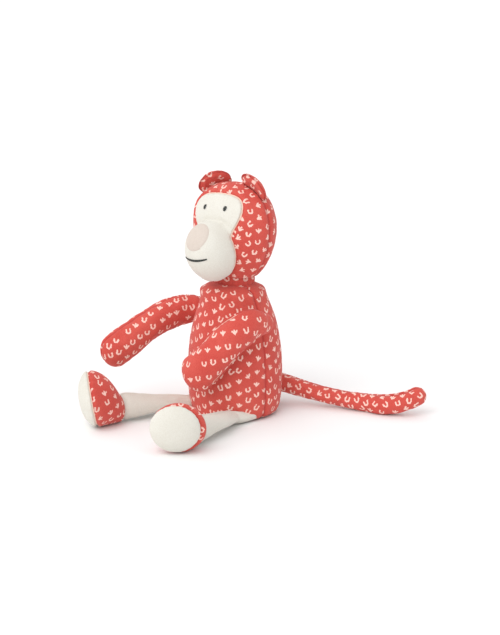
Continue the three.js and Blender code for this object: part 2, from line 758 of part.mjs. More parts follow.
function buildTail() {
  const torso = bodyBeside(tailRoot, TAIL_ROOT_RADIUS);
  const bendAhead = tailBend.clone().sub(tailBase.path[2]).normalize();
  const nearSide = halfSpace(tailBend, bendAhead.clone().negate());
  const bendSocket = hollow(tailBend, TAIL_RADIUS);
  const parts = [
    ["tail_base", tailBase, (solid) => solid.intersect(nearSide).subtract(bendSocket).subtract(torso)],
    ["tail_tip", tailTip, (solid) => solid],
  ];
  const baseWad = wadAt(tailBase.path, TAIL_ROOT_RADIUS);
  addWad("tail_root", baseWad, UP);
  const hinges = {
    tail_base: liftHinge(tailRoot, tailBend.clone().sub(tailRoot)),
    tail_tip: { pivot: tailBend, axis: UP },
  };
  for (const [name, { path, root, girth }, trim] of parts) {
    const overrun = name === "tail_base" ? [tailBend.clone().addScaledVector(bendAhead, 8)] : [];
    const pad = stuffed(
      tube({
        path: [...path, ...overrun],
        root,
        width: [...girth, ...overrun.map(() => TAIL_RADIUS)],
        thickness: [...girth, ...overrun.map(() => TAIL_RADIUS)],
        flat: () => UP,
        stacks: 10,
        sides: 10,
      }),
    );
    addPadded(group(name, hinges[name]), name, pad, {
      point: path[1],
      normal: path[2].clone().sub(path[0]).cross(UP).normalize(),
      panels: ["left", "right"],
      finish: "print_jersey",
      trim,
      wad: name === "tail_base" ? baseWad : undefined,
    });
  }
}

buildTorso();
buildHead();
buildEar("left");
buildEar("right");
buildArm("left");
buildArm("right");
buildLeg("left");
buildLeg("right");
buildTail();

export default monkey;
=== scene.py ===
"""A seated stuffed monkey: printed jersey covers over filling, a cream face, cream legs and soles.

Sizes are in millimetres in the classes and in metres in the meshes. The monkey looks along -Y.
"""

import json
import logging
import math
from collections.abc import Callable, Sequence
from dataclasses import dataclass, field
from enum import Enum

import bmesh
import bpy
import numpy as np
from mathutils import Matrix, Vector
from mathutils.bvhtree import BVHTree
from mathutils.kdtree import KDTree


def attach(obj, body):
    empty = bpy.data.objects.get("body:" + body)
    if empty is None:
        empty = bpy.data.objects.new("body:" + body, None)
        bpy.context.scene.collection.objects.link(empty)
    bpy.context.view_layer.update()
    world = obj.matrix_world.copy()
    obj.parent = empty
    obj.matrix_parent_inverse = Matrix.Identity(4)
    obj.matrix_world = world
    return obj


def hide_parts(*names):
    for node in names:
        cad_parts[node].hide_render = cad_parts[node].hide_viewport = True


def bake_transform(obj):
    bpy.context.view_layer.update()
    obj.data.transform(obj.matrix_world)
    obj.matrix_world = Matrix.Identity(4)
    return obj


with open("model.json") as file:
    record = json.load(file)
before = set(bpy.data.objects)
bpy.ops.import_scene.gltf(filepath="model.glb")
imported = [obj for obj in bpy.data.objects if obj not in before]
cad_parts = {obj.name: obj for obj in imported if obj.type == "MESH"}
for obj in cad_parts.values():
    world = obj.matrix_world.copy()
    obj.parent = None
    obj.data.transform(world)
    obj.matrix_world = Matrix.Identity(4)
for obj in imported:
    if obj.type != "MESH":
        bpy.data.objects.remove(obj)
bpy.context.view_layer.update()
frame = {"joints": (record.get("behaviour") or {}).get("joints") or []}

MM = 0.001
UP = np.array([0.0, 0.0, 1.0])
LaidLine = tuple[np.ndarray, np.ndarray, np.ndarray, bool]
log = logging.getLogger("monkey")


class Part(Enum):
    """The places of a finish in every cover's list of materials."""

    PRINT = 0
    CREAM = 1


class Side(Enum):
    """The monkey's own sides, with the sign of X on each."""

    LEFT = 1
    RIGHT = -1

    @property
    def word(self) -> str:
        """The side's name as the bodies spell it."""
        return self.name.lower()


# ---- vectors and lines ----


def unit(v: np.ndarray) -> np.ndarray:
    """Vectors of length one along the last axis.

    Args:
        v: The vectors.

    Returns:
        The vectors of length one.
    """
    v = np.asarray(v, float)
    return v / np.maximum(np.linalg.norm(v, axis=-1, keepdims=True), 1e-12)


def turn_about(points: np.ndarray, centre: np.ndarray, axis: str, degrees: float) -> np.ndarray:
    """Points turned about an axis through a centre.

    Args:
        points: The points, one row each.
        centre: A point on the axis.
        axis: "x", "y" or "z".
        degrees: How far they turn.

    Returns:
        The turned points.
    """
    c, s = math.cos(math.radians(degrees)), math.sin(math.radians(degrees))
    turns = {
        "x": [[1, 0, 0], [0, c, -s], [0, s, c]],
        "y": [[c, 0, s], [0, 1, 0], [-s, 0, c]],
        "z": [[c, -s, 0], [s, c, 0], [0, 0, 1]],
    }
    return (np.asarray(points, float) - centre) @ np.array(turns[axis]).T + centre


def ripple(run: np.ndarray, pitch: float, seed: int) -> np.ndarray:
    """A smooth random wave from -1 to 1 along a line.

    Args:
        run: Distances along the line.
        pitch: The distance between two random values.
        seed: The seed of the values.

    Returns:
        The wave's value at each distance.
    """
    table = np.random.default_rng(seed).uniform(-1, 1, 512)
    place = np.asarray(run, float) / pitch
    low = np.floor(place).astype(int)
    share = place - low
    share = share * share * (3 - 2 * share)
    return table[low % 512] * (1 - share) + table[(low + 1) % 512] * share


class Spine:
    """A smooth line through points, read by the distance along it."""

    def __init__(self, knots: Sequence[Sequence[float]], steps: int = 40) -> None:
        """Lays the line through its knots.

        Args:
            knots: The points that it passes through.
            steps: The straight steps between two knots.
        """
        p = np.array(knots, float)
        p = np.vstack([2 * p[0] - p[1], p, 2 * p[-1] - p[-2]])
        line = [p[1]]
        for a, b, c, d in zip(p, p[1:], p[2:], p[3:]):
            t = np.concatenate([[0], np.cumsum([np.linalg.norm(v) ** 0.5 for v in (b - a, c - b, d - c)])])
            for x in np.linspace(t[1], t[2], steps + 1)[1:]:
                ab = a + (b - a) * (x - t[0]) / (t[1] - t[0])
                bc = b + (c - b) * (x - t[1]) / (t[2] - t[1])
                cd = c + (d - c) * (x - t[2]) / (t[3] - t[2])
                first = ab + (bc - ab) * (x - t[0]) / (t[2] - t[0])
                second = bc + (cd - bc) * (x - t[1]) / (t[3] - t[1])
                line.append(first + (second - first) * (x - t[1]) / (t[2] - t[1]))
        self.line = np.array(line)
        self.reach = np.concatenate([[0], np.cumsum(np.linalg.norm(np.diff(self.line, axis=0), axis=1))])
        self.length = float(self.reach[-1])

    def at(self, distance: float) -> np.ndarray:
        """The point at a distance, on straight ends beyond the line.

        Args:
            distance: The distance along the line, which may be negative or beyond its end.

        Returns:
            The point.
        """
        if distance < 0:
            return self.line[0] + self.tangent(0) * distance
        if distance > self.length:
            return self.line[-1] + self.tangent(self.length) * (distance - self.length)
        return self._read(distance)

    def _read(self, distance: float) -> np.ndarray:
        """The point of the line itself at a distance, which stops at its ends."""
        return np.array([np.interp(distance, self.reach, self.line[:, k]) for k in range(3)])

    def tangent(self, distance: float) -> np.ndarray:
        """The line's direction at a distance.

        Args:
            distance: The distance along the line.

        Returns:
            The direction, of length one.
        """
        here = min(max(distance, 0.5), self.length - 0.5)
        return unit(self._read(here + 0.5) - self._read(here - 0.5))


# ---- covers ----


@dataclass
class Shell:
    """A closed cover as rings of points between two poles.

    rings is (rings, columns, 3); seam_columns run from pole to pole and seam_rings run round.
    cloth_rows gives the finish of each row of faces, the first and last being the poles' fans.
    """

    name: str
    rings: np.ndarray
    start: np.ndarray
    end: np.ndarray
    seam_columns: tuple[int, ...] = ()
    seam_rings: tuple[int, ...] = ()
    cloth_rows: np.ndarray | None = None
    chart: Callable[[np.ndarray], tuple[np.ndarray, int]] | None = None
    held: Callable[[np.ndarray], np.ndarray] | None = None
    seam_depth: float = 0.9
    swell: float = 2.4
    slack: float = 0.02
    seam_reach: tuple[int, int] | None = None

    @property
    def points(self) -> np.ndarray:
        """Every point, the poles last."""
        return np.vstack([self.rings.reshape(-1, 3), self.start, self.end])

    def faces(self) -> tuple[list[tuple[int, ...]], list[tuple[int, int]]]:
        """The faces, and the row and column that each comes from.

        Returns:
            The faces as tuples of points, and the row and column of each.
        """
        m, n, _ = self.rings.shape
        made, places = [], []
        for j in range(n):
            k = (j + 1) % n
            made.append((m * n, k, j))
            places.append((0, j))
            for i in range(m - 1):
                made.append((i * n + j, i * n + k, (i + 1) * n + k, (i + 1) * n + j))
                places.append((i + 1, j))
            made.append((m * n + 1, (m - 1) * n + j, (m - 1) * n + k))
            places.append((m, j))
        return made, places

    def seam_lines(self) -> list[tuple[list[int], bool]]:
        """Each seam's vertices in order, and whether it closes on itself.

        Returns:
            The seams that run along the cover, then those that run round it.
        """
        m, n, _ = self.rings.shape
        if self.seam_reach:
            low, high = self.seam_reach
            lines = [([i * n + c for i in range(low, high + 1)], False) for c in self.seam_columns]
        else:
            ends = [m * n], [m * n + 1]
            lines = [(ends[0] + [i * n + c for i in range(m)] + ends[1], False) for c in self.seam_columns]
        return lines + [([r * n + j for j in range(n)], True) for r in self.seam_rings]

    def wrapped(self) -> tuple[np.ndarray, np.ndarray, np.ndarray]:
        """Distances on the cloth: round each ring from the first seam, along it, and the panels' middles.

        Returns:
            The distances round each ring, the distance along the cover of each ring, and the middles.
        """
        m, n, _ = self.rings.shape
        first = self.seam_columns[0] if self.seam_columns else 0
        second = self.seam_columns[1] if len(self.seam_columns) > 1 else (first + n // 2) % n
        rolled = np.roll(self.rings, -first, axis=1)
        steps = np.linalg.norm(np.roll(rolled, -1, axis=1) - rolled, axis=2)
        round_it = np.concatenate([np.zeros((m, 1)), np.cumsum(steps, axis=1)], axis=1)
        gaps = np.linalg.norm(np.diff(self.rings, axis=0), axis=2).mean(axis=1)
        along = np.concatenate([[0], np.cumsum(gaps)])
        at = (second - first) % n
        middles = np.stack([round_it[:, at] / 2, (round_it[:, at] + round_it[:, n]) / 2])
        return round_it, along, middles

    def mesh(self) -> bpy.types.Object:
        """The cover as an object with its cloth's own UV map and a panel number on each face.

        Returns:
            The object.
        """
        faces, places = self.faces()
        points = self.points
        tri = np.array([f[:3] for f in faces])
        a, b, c = (points[tri[:, k]] for k in range(3))
        flip = np.einsum("ij,ij->i", a - points.mean(0), np.cross(b - a, c - a)).sum() < 0
        if flip:
            faces = [f[::-1] for f in faces]
        data = bpy.data.meshes.new(self.name)
        data.from_pydata((points * MM).tolist(), [], faces)
        cloth = data.uv_layers.new(name="cloth")
        m, n, _ = self.rings.shape
        first = self.seam_columns[0] if self.seam_columns else 0
        at = ((self.seam_columns[1] if len(self.seam_columns) > 1 else (first + n // 2) % n) - first) % n
        round_it, along, middles = self.wrapped()
        uv, panels, indices = [], [], []
        for f, (row, column) in zip(faces, places):
            indices.append(0 if self.cloth_rows is None else int(self.cloth_rows[row]))
            if self.chart:
                flat, number = self.chart(points[list(f)])
                uv.extend(flat)
                panels.append(number)
                continue
            place = (column - first) % n
            half = 0 if place < at else 1
            panels.append(half)
            for v in f:
                if v >= m * n:
                    i = 0 if v == m * n else m - 1
                    uv.append((0.0, along[i] + (-2 if v == m * n else 2)))
                    continue
                i, j = divmod(v, n)
                turn = (j - first) % n
                if turn == 0 and place == n - 1:
                    turn = n
                uv.append((round_it[i, turn] - middles[half, i], along[i]))
        data.attributes.new("panel", "INT", "FACE").data.foreach_set("value", panels)
        data.polygons.foreach_set("material_index", indices)
        cloth.data.foreach_set("uv", (np.array(uv, float) * MM).astype(np.float32).ravel())
        data.update()
        made = bpy.data.objects.new(self.name, data)
        bpy.context.scene.collection.objects.link(made)
        return made


def coordinates(data: bpy.types.Mesh, what: str = "vertices", key: str = "co") -> np.ndarray:
    """A mesh's points, normals or centres as rows.

    Args:
        data: The mesh.
        what: The mesh's collection to read.
        key: The value to read from each item.

    Returns:
        One row of three for each item.
    """
    items = getattr(data, what)
    values = np.zeros(len(items) * 3, np.float32)
    items.foreach_get(key, values)
    return values.reshape(-1, 3).astype(float)


def set_points(data: bpy.types.Mesh, points: np.ndarray) -> None:
    """Moves a mesh's points.

    Args:
        data: The mesh.
        points: Its new points, in metres.
    """
    data.vertices.foreach_set("co", points.astype(np.float32).ravel())
    data.update()


def baked(piece: bpy.types.Object) -> None:
    """Applies a piece's modifiers to its mesh.

    Args:
        piece: The piece.
    """
    graph = bpy.context.evaluated_depsgraph_get()
    made = bpy.data.meshes.new_from_object(piece.evaluated_get(graph))
    piece.modifiers.clear()
    piece.data = made


@dataclass(frozen=True)
class Filling:
    """How a cover is stuffed: a short cloth simulation that presses it out against its seams."""

    pressure: float = 3.0
    frames: int = 20
    enlarged: float = 5.0
    drawn_in: float = 1.6

    def press_out(self, piece: bpy.types.Object, shell: Shell) -> None:
        """Stuffs a cover. Its seams stay where they are, and its panels swell between them.

        Args:
            piece: The cover's object.
            shell: The shape that it was made from.
        """
        data = piece.data
        rest = coordinates(data)
        normals = coordinates(data, "vertices", "normal")
        held = np.zeros(len(rest))
        for line, _ in shell.seam_lines():
            held[line] = 1
        if shell.held is not None:
            held = np.maximum(held, shell.held(rest / MM))
        seam = KDTree(max(1, int((held > 0.99).sum())))
        for i in np.flatnonzero(held > 0.99):
            seam.insert(rest[i], int(i))
        seam.balance()
        far = np.full(len(rest), 0.02)
        if (held > 0.99).any():
            far = np.array([seam.find(p)[2] or 0.02 for p in rest])
        ease = 1 - np.exp(-((far / (7 * MM)) ** 2))
        start = rest - normals * (self.drawn_in * MM * ease)[:, None]
        set_points(data, start * self.enlarged)
        pins = piece.vertex_groups.new(name="pins")
        firm = piece.vertex_groups.new(name="firm")
        for i, weight in enumerate(held):
            if weight > 0.01:
                pins.add([i], float(weight), "REPLACE")
                firm.add([i], float(weight), "REPLACE")
        cloth = piece.modifiers.new("filling", "CLOTH")
        cloth.settings.quality = 4
        cloth.settings.mass = 0.3
        cloth.settings.tension_stiffness = 20
        cloth.settings.compression_stiffness = 20
        cloth.settings.shear_stiffness = 8
        cloth.settings.bending_stiffness = 2.5
        cloth.settings.tension_damping = 12
        cloth.settings.compression_damping = 12
        cloth.settings.use_pressure = True
        cloth.settings.uniform_pressure_force = self.pressure
        cloth.settings.vertex_group_mass = "pins"
        cloth.settings.vertex_group_shrink = "firm"
        cloth.settings.shrink_min = -shell.slack
        cloth.settings.shrink_max = 0.0
        cloth.settings.effector_weights.gravity = 0
        cloth.collision_settings.use_collision = False
        cloth.point_cache.frame_start = 1
        cloth.point_cache.frame_end = self.frames
        for moment in range(1, self.frames + 1):
            bpy.context.scene.frame_set(moment)
        baked(piece)
        bpy.context.scene.frame_set(1)
        moved = coordinates(piece.data) / self.enlarged - rest
        moved[~np.isfinite(moved).all(axis=1)] = 0
        size = np.linalg.norm(moved, axis=1, keepdims=True)
        moved *= np.minimum(1, shell.swell * MM / np.maximum(size, 1e-9))
        set_points(piece.data, rest + moved)
        piece.vertex_groups.clear()


@dataclass(frozen=True)
class Seam:
    """A sewn seam: a groove with small puckers along both its sides."""

    groove: float = 1.5
    pucker: float = 0.3
    reach: float = 6.0
    pitch: float = 2.6


def smoothed(piece: bpy.types.Object, levels: int = 1) -> None:
    """Rounds a piece with a subdivision surface and applies it.

    Args:
        piece: The piece.
        levels: How many times its faces are divided.
    """
    mod = piece.modifiers.new("round", "SUBSURF")
    mod.levels = mod.render_levels = levels
    baked(piece)


def sampled(line: np.ndarray, closed: bool, step: float) -> tuple[np.ndarray, np.ndarray]:
    """Even points along a line, and the distance of each along it.

    Args:
        line: The line's points.
        closed: Whether it closes on itself.
        step: The distance between two new points.

    Returns:
        The new points, and each one's distance along the line.
    """
    if closed:
        line = np.vstack([line, line[:1]])
    reach = np.concatenate([[0], np.cumsum(np.linalg.norm(np.diff(line, axis=0), axis=1))])
    count = max(3, int(reach[-1] / step))
    run = np.linspace(0, reach[-1], count + 1)
    if closed:
        run = run[:-1]
    return np.stack([np.interp(run, reach, line[:, k]) for k in range(3)], axis=1), run


class Cover:
    """A stuffed and sewn cover, from its shape to its printed cloth."""

    def __init__(
        self, shell: Shell, filling: Filling, seam: Seam | None = None, floor: float = 0.25
    ) -> None:
        """Makes, stuffs and sews the cover.

        Args:
            shell: The cover's shape.
            filling: How it is stuffed.
            seam: How its seams are sewn.
            floor: The lowest height that its points may have, in millimetres.
        """
        self.shell = shell
        self.seam = seam or Seam()
        self.piece = shell.mesh()
        filling.press_out(self.piece, shell)
        base = coordinates(self.piece.data)
        self.lines = [(base[line], closed) for line, closed in shell.seam_lines()]
        smoothed(self.piece)
        self.sew()
        points = coordinates(self.piece.data)
        points[:, 2] = np.maximum(points[:, 2], floor * MM)
        set_points(self.piece.data, points)
        shade_smooth(self.piece.data)

    def sew(self) -> None:
        """Draws the cloth in along every seam, puckers it, and stores a painted shade at each point, darkest
        down in a seam.
        """
        data = self.piece.data
        crease = data.attributes.get("crease") or data.attributes.new("crease", "FLOAT", "POINT")
        points = coordinates(data)
        depth = np.zeros(len(points))
        if self.lines:
            every = [sampled(line, closed, 0.6 * MM) for line, closed in self.lines]
            dots = np.vstack([p for p, _ in every])
            run = np.concatenate([r + 0.37 * k for k, (_, r) in enumerate(every)])
            tree = KDTree(len(dots))
            for i, p in enumerate(dots):
                tree.insert(p, i)
            tree.balance()
            found = [tree.find(p) for p in points]
            far = np.array([f[2] for f in found]) / MM
            place = run[[f[1] for f in found]] / MM
            normals = coordinates(data, "vertices", "normal")
            s = self.seam
            groove = self.shell.seam_depth * np.exp(-((far / s.groove) ** 2))
            folds = s.pucker * ripple(place, s.pitch, len(self.shell.name)) * np.exp(-((far / s.reach) ** 2))
            folds *= 1 - np.exp(-((far / 1.2) ** 2))
            points -= normals * ((groove - folds) * MM)[:, None]
            set_points(data, points)
            # Painted shade: strongest down in a seam and fading across it, plus up to 0.35 in the hollows of
            # the puckers; the jersey darkens towards its deep colour by it.
            depth = np.exp(-((far / (s.groove * 0.8)) ** 2)) + 0.35 * np.clip(-folds / s.pucker, 0, 1)
        crease.data.foreach_set("value", np.clip(depth, 0, 1).astype(np.float32))

    def surface(self) -> BVHTree:
        """The finished surface, for laying threads and patches on it."""
        return surface_of(self.piece)


def surface_of(piece: bpy.types.Object) -> BVHTree:
    """A piece's surface for finding the nearest point on it."""
    data = piece.data
    return BVHTree.FromPolygons([v.co for v in data.vertices], [list(p.vertices) for p in data.polygons])


def shade_smooth(data: bpy.types.Mesh) -> None:
    """Rounds a mesh's shading."""
    data.polygons.foreach_set("use_smooth", [True] * len(data.polygons))
    data.update()


# ---- the print ----


@dataclass(frozen=True)
class Surface:
    """A cover's mesh with the middle, the direction and the panel number of each face."""

    data: bpy.types.Mesh
    centres: np.ndarray
    normals: np.ndarray
    panels: np.ndarray


@dataclass(frozen=True)
class Print:
    """The brush marks on the jersey, in staggered rows that follow each piece's cloth."""

    step: float = 10.4
    row: float = 10.8
    size: float = 2.1
    least: float = 7.6

    def lay(
        self,
        piece: bpy.types.Object,
        turn: float,
        seed: int,
        upright: np.ndarray = UP,
        sway: float = 22.0,
        pitch: tuple[float, float] | None = None,
        by_panel: bool = True,
        toes: float = 0.3,
    ) -> None:
        """Gives every face the place of its nearest mark, as a UV map, and the mark's own number.

        Args:
            piece: The cover.
            turn: The rows' turn on the cloth, in degrees.
            seed: The seed of the marks' turns and kinds.
            upright: The direction in which the marks open.
            sway: How far a mark may turn from upright, in degrees.
            pitch: The distances between marks and between rows, where they differ from the usual.
            by_panel: Whether the marks are cut off at the seams between panels.
            toes: The share of marks that have three toes.
        """
        data = piece.data
        draw = np.random.default_rng(seed)
        centres = coordinates(data, "polygons", "center") / MM
        normals = coordinates(data, "polygons", "normal")
        panels = np.zeros(len(centres), int)
        data.attributes["panel"].data.foreach_get("value", panels)
        flat = self._cloth_middles(data) / MM
        across, along = pitch or (self.step, self.row)
        c, s = math.cos(math.radians(turn)), math.sin(math.radians(turn))
        grid = np.stack([flat[:, 0] * c + flat[:, 1] * s, -flat[:, 0] * s + flat[:, 1] * c], axis=1)
        marks = []
        for number in np.unique(panels):
            members = np.flatnonzero(panels == number)
            if not len(members):
                continue
            own = KDTree(len(members))
            for k, i in enumerate(members):
                own.insert((*grid[i], 0), int(i))
            own.balance()
            low, high = grid[members].min(0) - 6, grid[members].max(0) + 6
            for k, v in enumerate(np.arange(low[1], high[1], along)):
                for u in np.arange(low[0] + (across / 2) * (k % 2), high[0], across):
                    spot = np.array([u, v]) + draw.uniform(-0.9, 0.9, 2)
                    _, index, away = own.find((*spot, 0))
                    if away < 1.6:
                        marks.append((index, number))
        cloth = Surface(data, centres, normals, panels)
        kept = self._spaced(cloth, marks, by_panel)
        looks = [(draw.uniform(-sway, sway), draw.uniform(0, 1), draw.uniform(0, 1)) for _ in kept]
        self._number_faces(cloth, kept, looks, upright, by_panel, toes)

    @staticmethod
    def _cloth_middles(data: bpy.types.Mesh) -> np.ndarray:
        """The middle of every face on its cloth.

        Args:
            data: The cover's mesh.

        Returns:
            One row for each face, in metres.
        """
        uv = np.zeros(len(data.loops) * 2, np.float32)
        data.uv_layers["cloth"].data.foreach_get("uv", uv)
        uv = uv.reshape(-1, 2).astype(float)
        starts = np.zeros(len(data.polygons), int)
        counts = np.zeros(len(data.polygons), int)
        data.polygons.foreach_get("loop_start", starts)
        data.polygons.foreach_get("loop_total", counts)
        return np.add.reduceat(uv, starts, axis=0) / counts[:, None]

    def _spaced(
        self, cloth: Surface, marks: Sequence[tuple[int, int]], by_panel: bool
    ) -> list[tuple[int, int]]:
        """Keeps the marks that are far enough apart.

        Args:
            cloth: The cover's faces.
            marks: The face and the panel of each mark.
            by_panel: Whether only marks on one panel keep their distance from each other.

        Returns:
            The face and the panel of each mark that stays.
        """
        kept: list[tuple[int, int]] = []
        near: dict[tuple[int, int, int], list[tuple[int, int]]] = {}
        offsets = [(i, j, k) for i in (-1, 0, 1) for j in (-1, 0, 1) for k in (-1, 0, 1)]
        for index, number in marks:
            p = cloth.centres[index]
            cell = tuple((p // self.least).astype(int))
            around = [near.get((cell[0] + i, cell[1] + j, cell[2] + k), ()) for i, j, k in offsets]
            crowded = any(
                np.linalg.norm(cloth.centres[q] - p) < self.least and (r == number or not by_panel)
                for group in around
                for q, r in group
            )
            if not crowded:
                kept.append((index, number))
                near.setdefault(cell, []).append((index, number))
        return kept

    def _number_faces(
        self,
        cloth: Surface,
        kept: Sequence[tuple[int, int]],
        looks: Sequence[tuple[float, float, float]],
        upright: np.ndarray,
        by_panel: bool,
        toes: float,
    ) -> None:
        """Gives each face its nearest mark.

        Args:
            cloth: The cover's faces.
            kept: The face and the panel of each mark.
            looks: Each mark's turn in degrees, its share of the variety, and its chance of having toes.
            upright: The direction in which the marks open.
            by_panel: Whether a mark is cut off at the seams between panels.
            toes: The share of marks that have three toes.
        """
        data, centres, normals, panels = cloth.data, cloth.centres, cloth.normals, cloth.panels
        corners = np.zeros(len(data.loops), int)
        data.loops.foreach_get("vertex_index", corners)
        points = coordinates(data) / MM
        place = np.full((len(data.loops), 2), 9.0)
        kind = np.zeros(len(centres))
        groups = np.unique(panels) if by_panel else [None]
        for number in groups:
            own = [(k, i) for k, (i, r) in enumerate(kept) if number is None or r == number]
            if not own:
                continue
            tree = KDTree(len(own))
            for k, i in own:
                tree.insert(centres[i], k)
            tree.balance()
            for f in data.polygons:
                if number is not None and panels[f.index] != number:
                    continue
                _, k, away = tree.find(centres[f.index])
                if away > 6.5:
                    continue
                middle, normal = centres[kept[k][0]], normals[kept[k][0]]
                tilt, share, chance = looks[k]
                high = upright - normal * (upright @ normal)
                high = unit(high if np.linalg.norm(high) > 0.15 else np.cross(normal, [1.0, 0.2, 0]))
                wide = np.cross(high, normal)
                a = math.radians(tilt)
                x, y = wide * math.cos(a) + high * math.sin(a), high * math.cos(a) - wide * math.sin(a)
                span = slice(f.loop_start, f.loop_start + f.loop_total)
                away_from = points[corners[span]] - middle
                place[span] = np.stack([away_from @ x, away_from @ y], axis=1) / self.size
                kind[f.index] = 0.5 + 0.5 * share if chance < toes else 0.5 * share
        layer = data.uv_layers.new(name="mark")
        layer.data.foreach_set("uv", place.astype(np.float32).ravel())
        number = data.attributes.new("mark_kind", "FLOAT", "FACE")
        number.data.foreach_set("value", kind.astype(np.float32))


# ---- shader nodes ----


class Nodes:
    """Short calls that add and join the nodes of one tree."""

    def __init__(self, tree: bpy.types.NodeTree) -> None:
        """Starts on a tree."""
        self.tree = tree

    def add(self, kind: str, inputs: dict | None = None, **settings: object) -> bpy.types.Node:
        """Adds a node.

        Args:
            kind: The node's type.
            inputs: Values or sockets for its inputs, by name or place.
            settings: The node's own properties.

        Returns:
            The node.
        """
        node = self.tree.nodes.new(kind)
        for key, value in settings.items():
            setattr(node, key, value)
        for key, value in (inputs or {}).items():
            self.put(value, node.inputs[key])
        return node

    def put(self, value: object, socket: bpy.types.NodeSocket) -> None:
        """Joins a socket to an input, or sets its value.

        Args:
            value: A socket or a plain value.
            socket: The input.
        """
        if isinstance(value, bpy.types.NodeSocket):
            self.tree.links.new(value, socket)
        else:
            socket.default_value = value

    def math(self, work: str, *values: object, clamp: bool = False) -> bpy.types.NodeSocket:
        """A Math node's result.

        Args:
            work: The operation.
            values: Numbers or sockets for its inputs.
            clamp: Whether the result stays from 0 to 1.

        Returns:
            The result's socket.
        """
        node = self.add("ShaderNodeMath", dict(enumerate(values)), operation=work, use_clamp=clamp)
        return node.outputs[0]

    def vector(self, work: str, *values: object) -> bpy.types.NodeSocket:
        """A Vector Math node's vector, or its value for a length or a dot product.

        Args:
            work: The operation.
            values: Vectors, numbers or sockets for its inputs.

        Returns:
            The result's socket.
        """
        node = self.add("ShaderNodeVectorMath", operation=work)
        for k, value in enumerate(values):
            self.put(value, node.inputs[3] if work == "SCALE" and k == 1 else node.inputs[k])
        return node.outputs["Value" if work in ("LENGTH", "DOT_PRODUCT", "DISTANCE") else "Vector"]

    def noise(self, vector: object, scale: float, detail: float = 2.0, rough: float = 0.5) -> bpy.types.Node:
        """A Noise Texture node.

        Args:
            vector: Where it is read.
            scale: How fine it is.
            detail: Its octaves.
            rough: How strong the fine octaves are.

        Returns:
            The node.
        """
        inputs = {"Vector": vector, "Scale": scale, "Detail": detail, "Roughness": rough}
        return self.add("ShaderNodeTexNoise", inputs)

    def ramp(
        self, value: object, low: float, high: float, start: float = 0.0, end: float = 1.0
    ) -> bpy.types.NodeSocket:
        """A smooth step from start to end as a value goes from low to high.

        Args:
            value: The value to read.
            low: Where the step begins.
            high: Where it ends.
            start: The result before it.
            end: The result after it.

        Returns:
            The result's socket.
        """
        node = self.add(
            "ShaderNodeMapRange",
            {"Value": value, "From Min": low, "From Max": high, "To Min": start, "To Max": end},
            interpolation_type="SMOOTHSTEP",
        )
        return node.outputs["Result"]

    def mix(self, share: object, a: object, b: object, blend: str = "MIX") -> bpy.types.NodeSocket:
        """A mix of two colours.

        Args:
            share: The share of the second colour.
            a: The first colour.
            b: The second colour.
            blend: How they are mixed.

        Returns:
            The mixed colour's socket.
        """
        node = self.add("ShaderNodeMix", data_type="RGBA", blend_type=blend)
        for key, value in ((0, share), (6, a), (7, b)):
            self.put(value, node.inputs[key])
        return node.outputs[2]


def shader_group(
    name: str, inputs: Sequence[tuple[str, str, object]], outputs: Sequence[tuple[str, str]]
) -> tuple[bpy.types.NodeTree, Nodes, bpy.types.NodeOutputs, bpy.types.Node]:
    """An empty shader node group with named sockets.

    Args:
        name: The group's name.
        inputs: Each input's name, socket type and default value.
        outputs: Each output's name and socket type.

    Returns:
        The tree, its Nodes, its input node's sockets by name, and its output node.
    """
    tree = bpy.data.node_groups.new(name, "ShaderNodeTree")
    for label, kind, value in inputs:
        socket = tree.interface.new_socket(label, in_out="INPUT", socket_type=kind)
        if value is not None:
            socket.default_value = value
    for label, kind in outputs:
        tree.interface.new_socket(label, in_out="OUTPUT", socket_type=kind)
    nodes = Nodes(tree)
    given = nodes.add("NodeGroupInput").outputs
    return tree, nodes, given, nodes.add("NodeGroupOutput")


def knit_group() -> bpy.types.NodeTree:
    """The height of plain knitted jersey: columns of small leaning loops.

    Returns:
        The group, whose height runs from 0 to 1.
    """
    tree, n, given, out = shader_group(
        "jersey knit",
        [("Cloth", "NodeSocketVector", None), ("Pitch", "NodeSocketFloat", 0.0007)],
        [("Height", "NodeSocketFloat")],
    )
    scaled = n.vector("SCALE", given["Cloth"], n.math("DIVIDE", 1.0, given["Pitch"]))
    axes = n.add("ShaderNodeSeparateXYZ", {0: scaled}).outputs
    side = n.math("ABSOLUTE", n.math("SUBTRACT", n.math("FRACT", axes[0]), 0.5))
    lean = n.math("ADD", n.math("MULTIPLY", axes[1], 1.25), n.math("MULTIPLY", side, 1.1))
    loop = n.math("SINE", n.math("MULTIPLY", lean, 2 * math.pi))
    rib = n.ramp(side, 0.3, 0.5, 1.0, 0.0)
    relief = n.math("MULTIPLY_ADD", loop, 0.32, 0.62)
    height = n.math("MULTIPLY", relief, n.math("MULTIPLY_ADD", rib, 0.7, 0.3))
    n.put(height, out.inputs["Height"])
    return tree


def tone_group() -> bpy.types.NodeTree:
    """Uneven dye and nap: a slow drift and a fine mottle, about a half.

    Returns:
        The group.
    """
    tree, n, given, out = shader_group(
        "cloth tone",
        [("Place", "NodeSocketVector", None), ("Fine", "NodeSocketFloat", 900.0)],
        [("Drift", "NodeSocketFloat"), ("Mottle", "NodeSocketFloat"), ("Fuzz", "NodeSocketFloat")],
    )
    drift = n.noise(given["Place"], 24.0, 3.0).outputs["Fac"]
    mottle = n.noise(given["Place"], given["Fine"], 3.0, 0.6).outputs["Fac"]
    fuzz = n.noise(given["Place"], 2600.0, 2.0, 0.7).outputs["Fac"]
    n.put(drift, out.inputs["Drift"])
    n.put(mottle, out.inputs["Mottle"])
    n.put(fuzz, out.inputs["Fuzz"])
    return tree


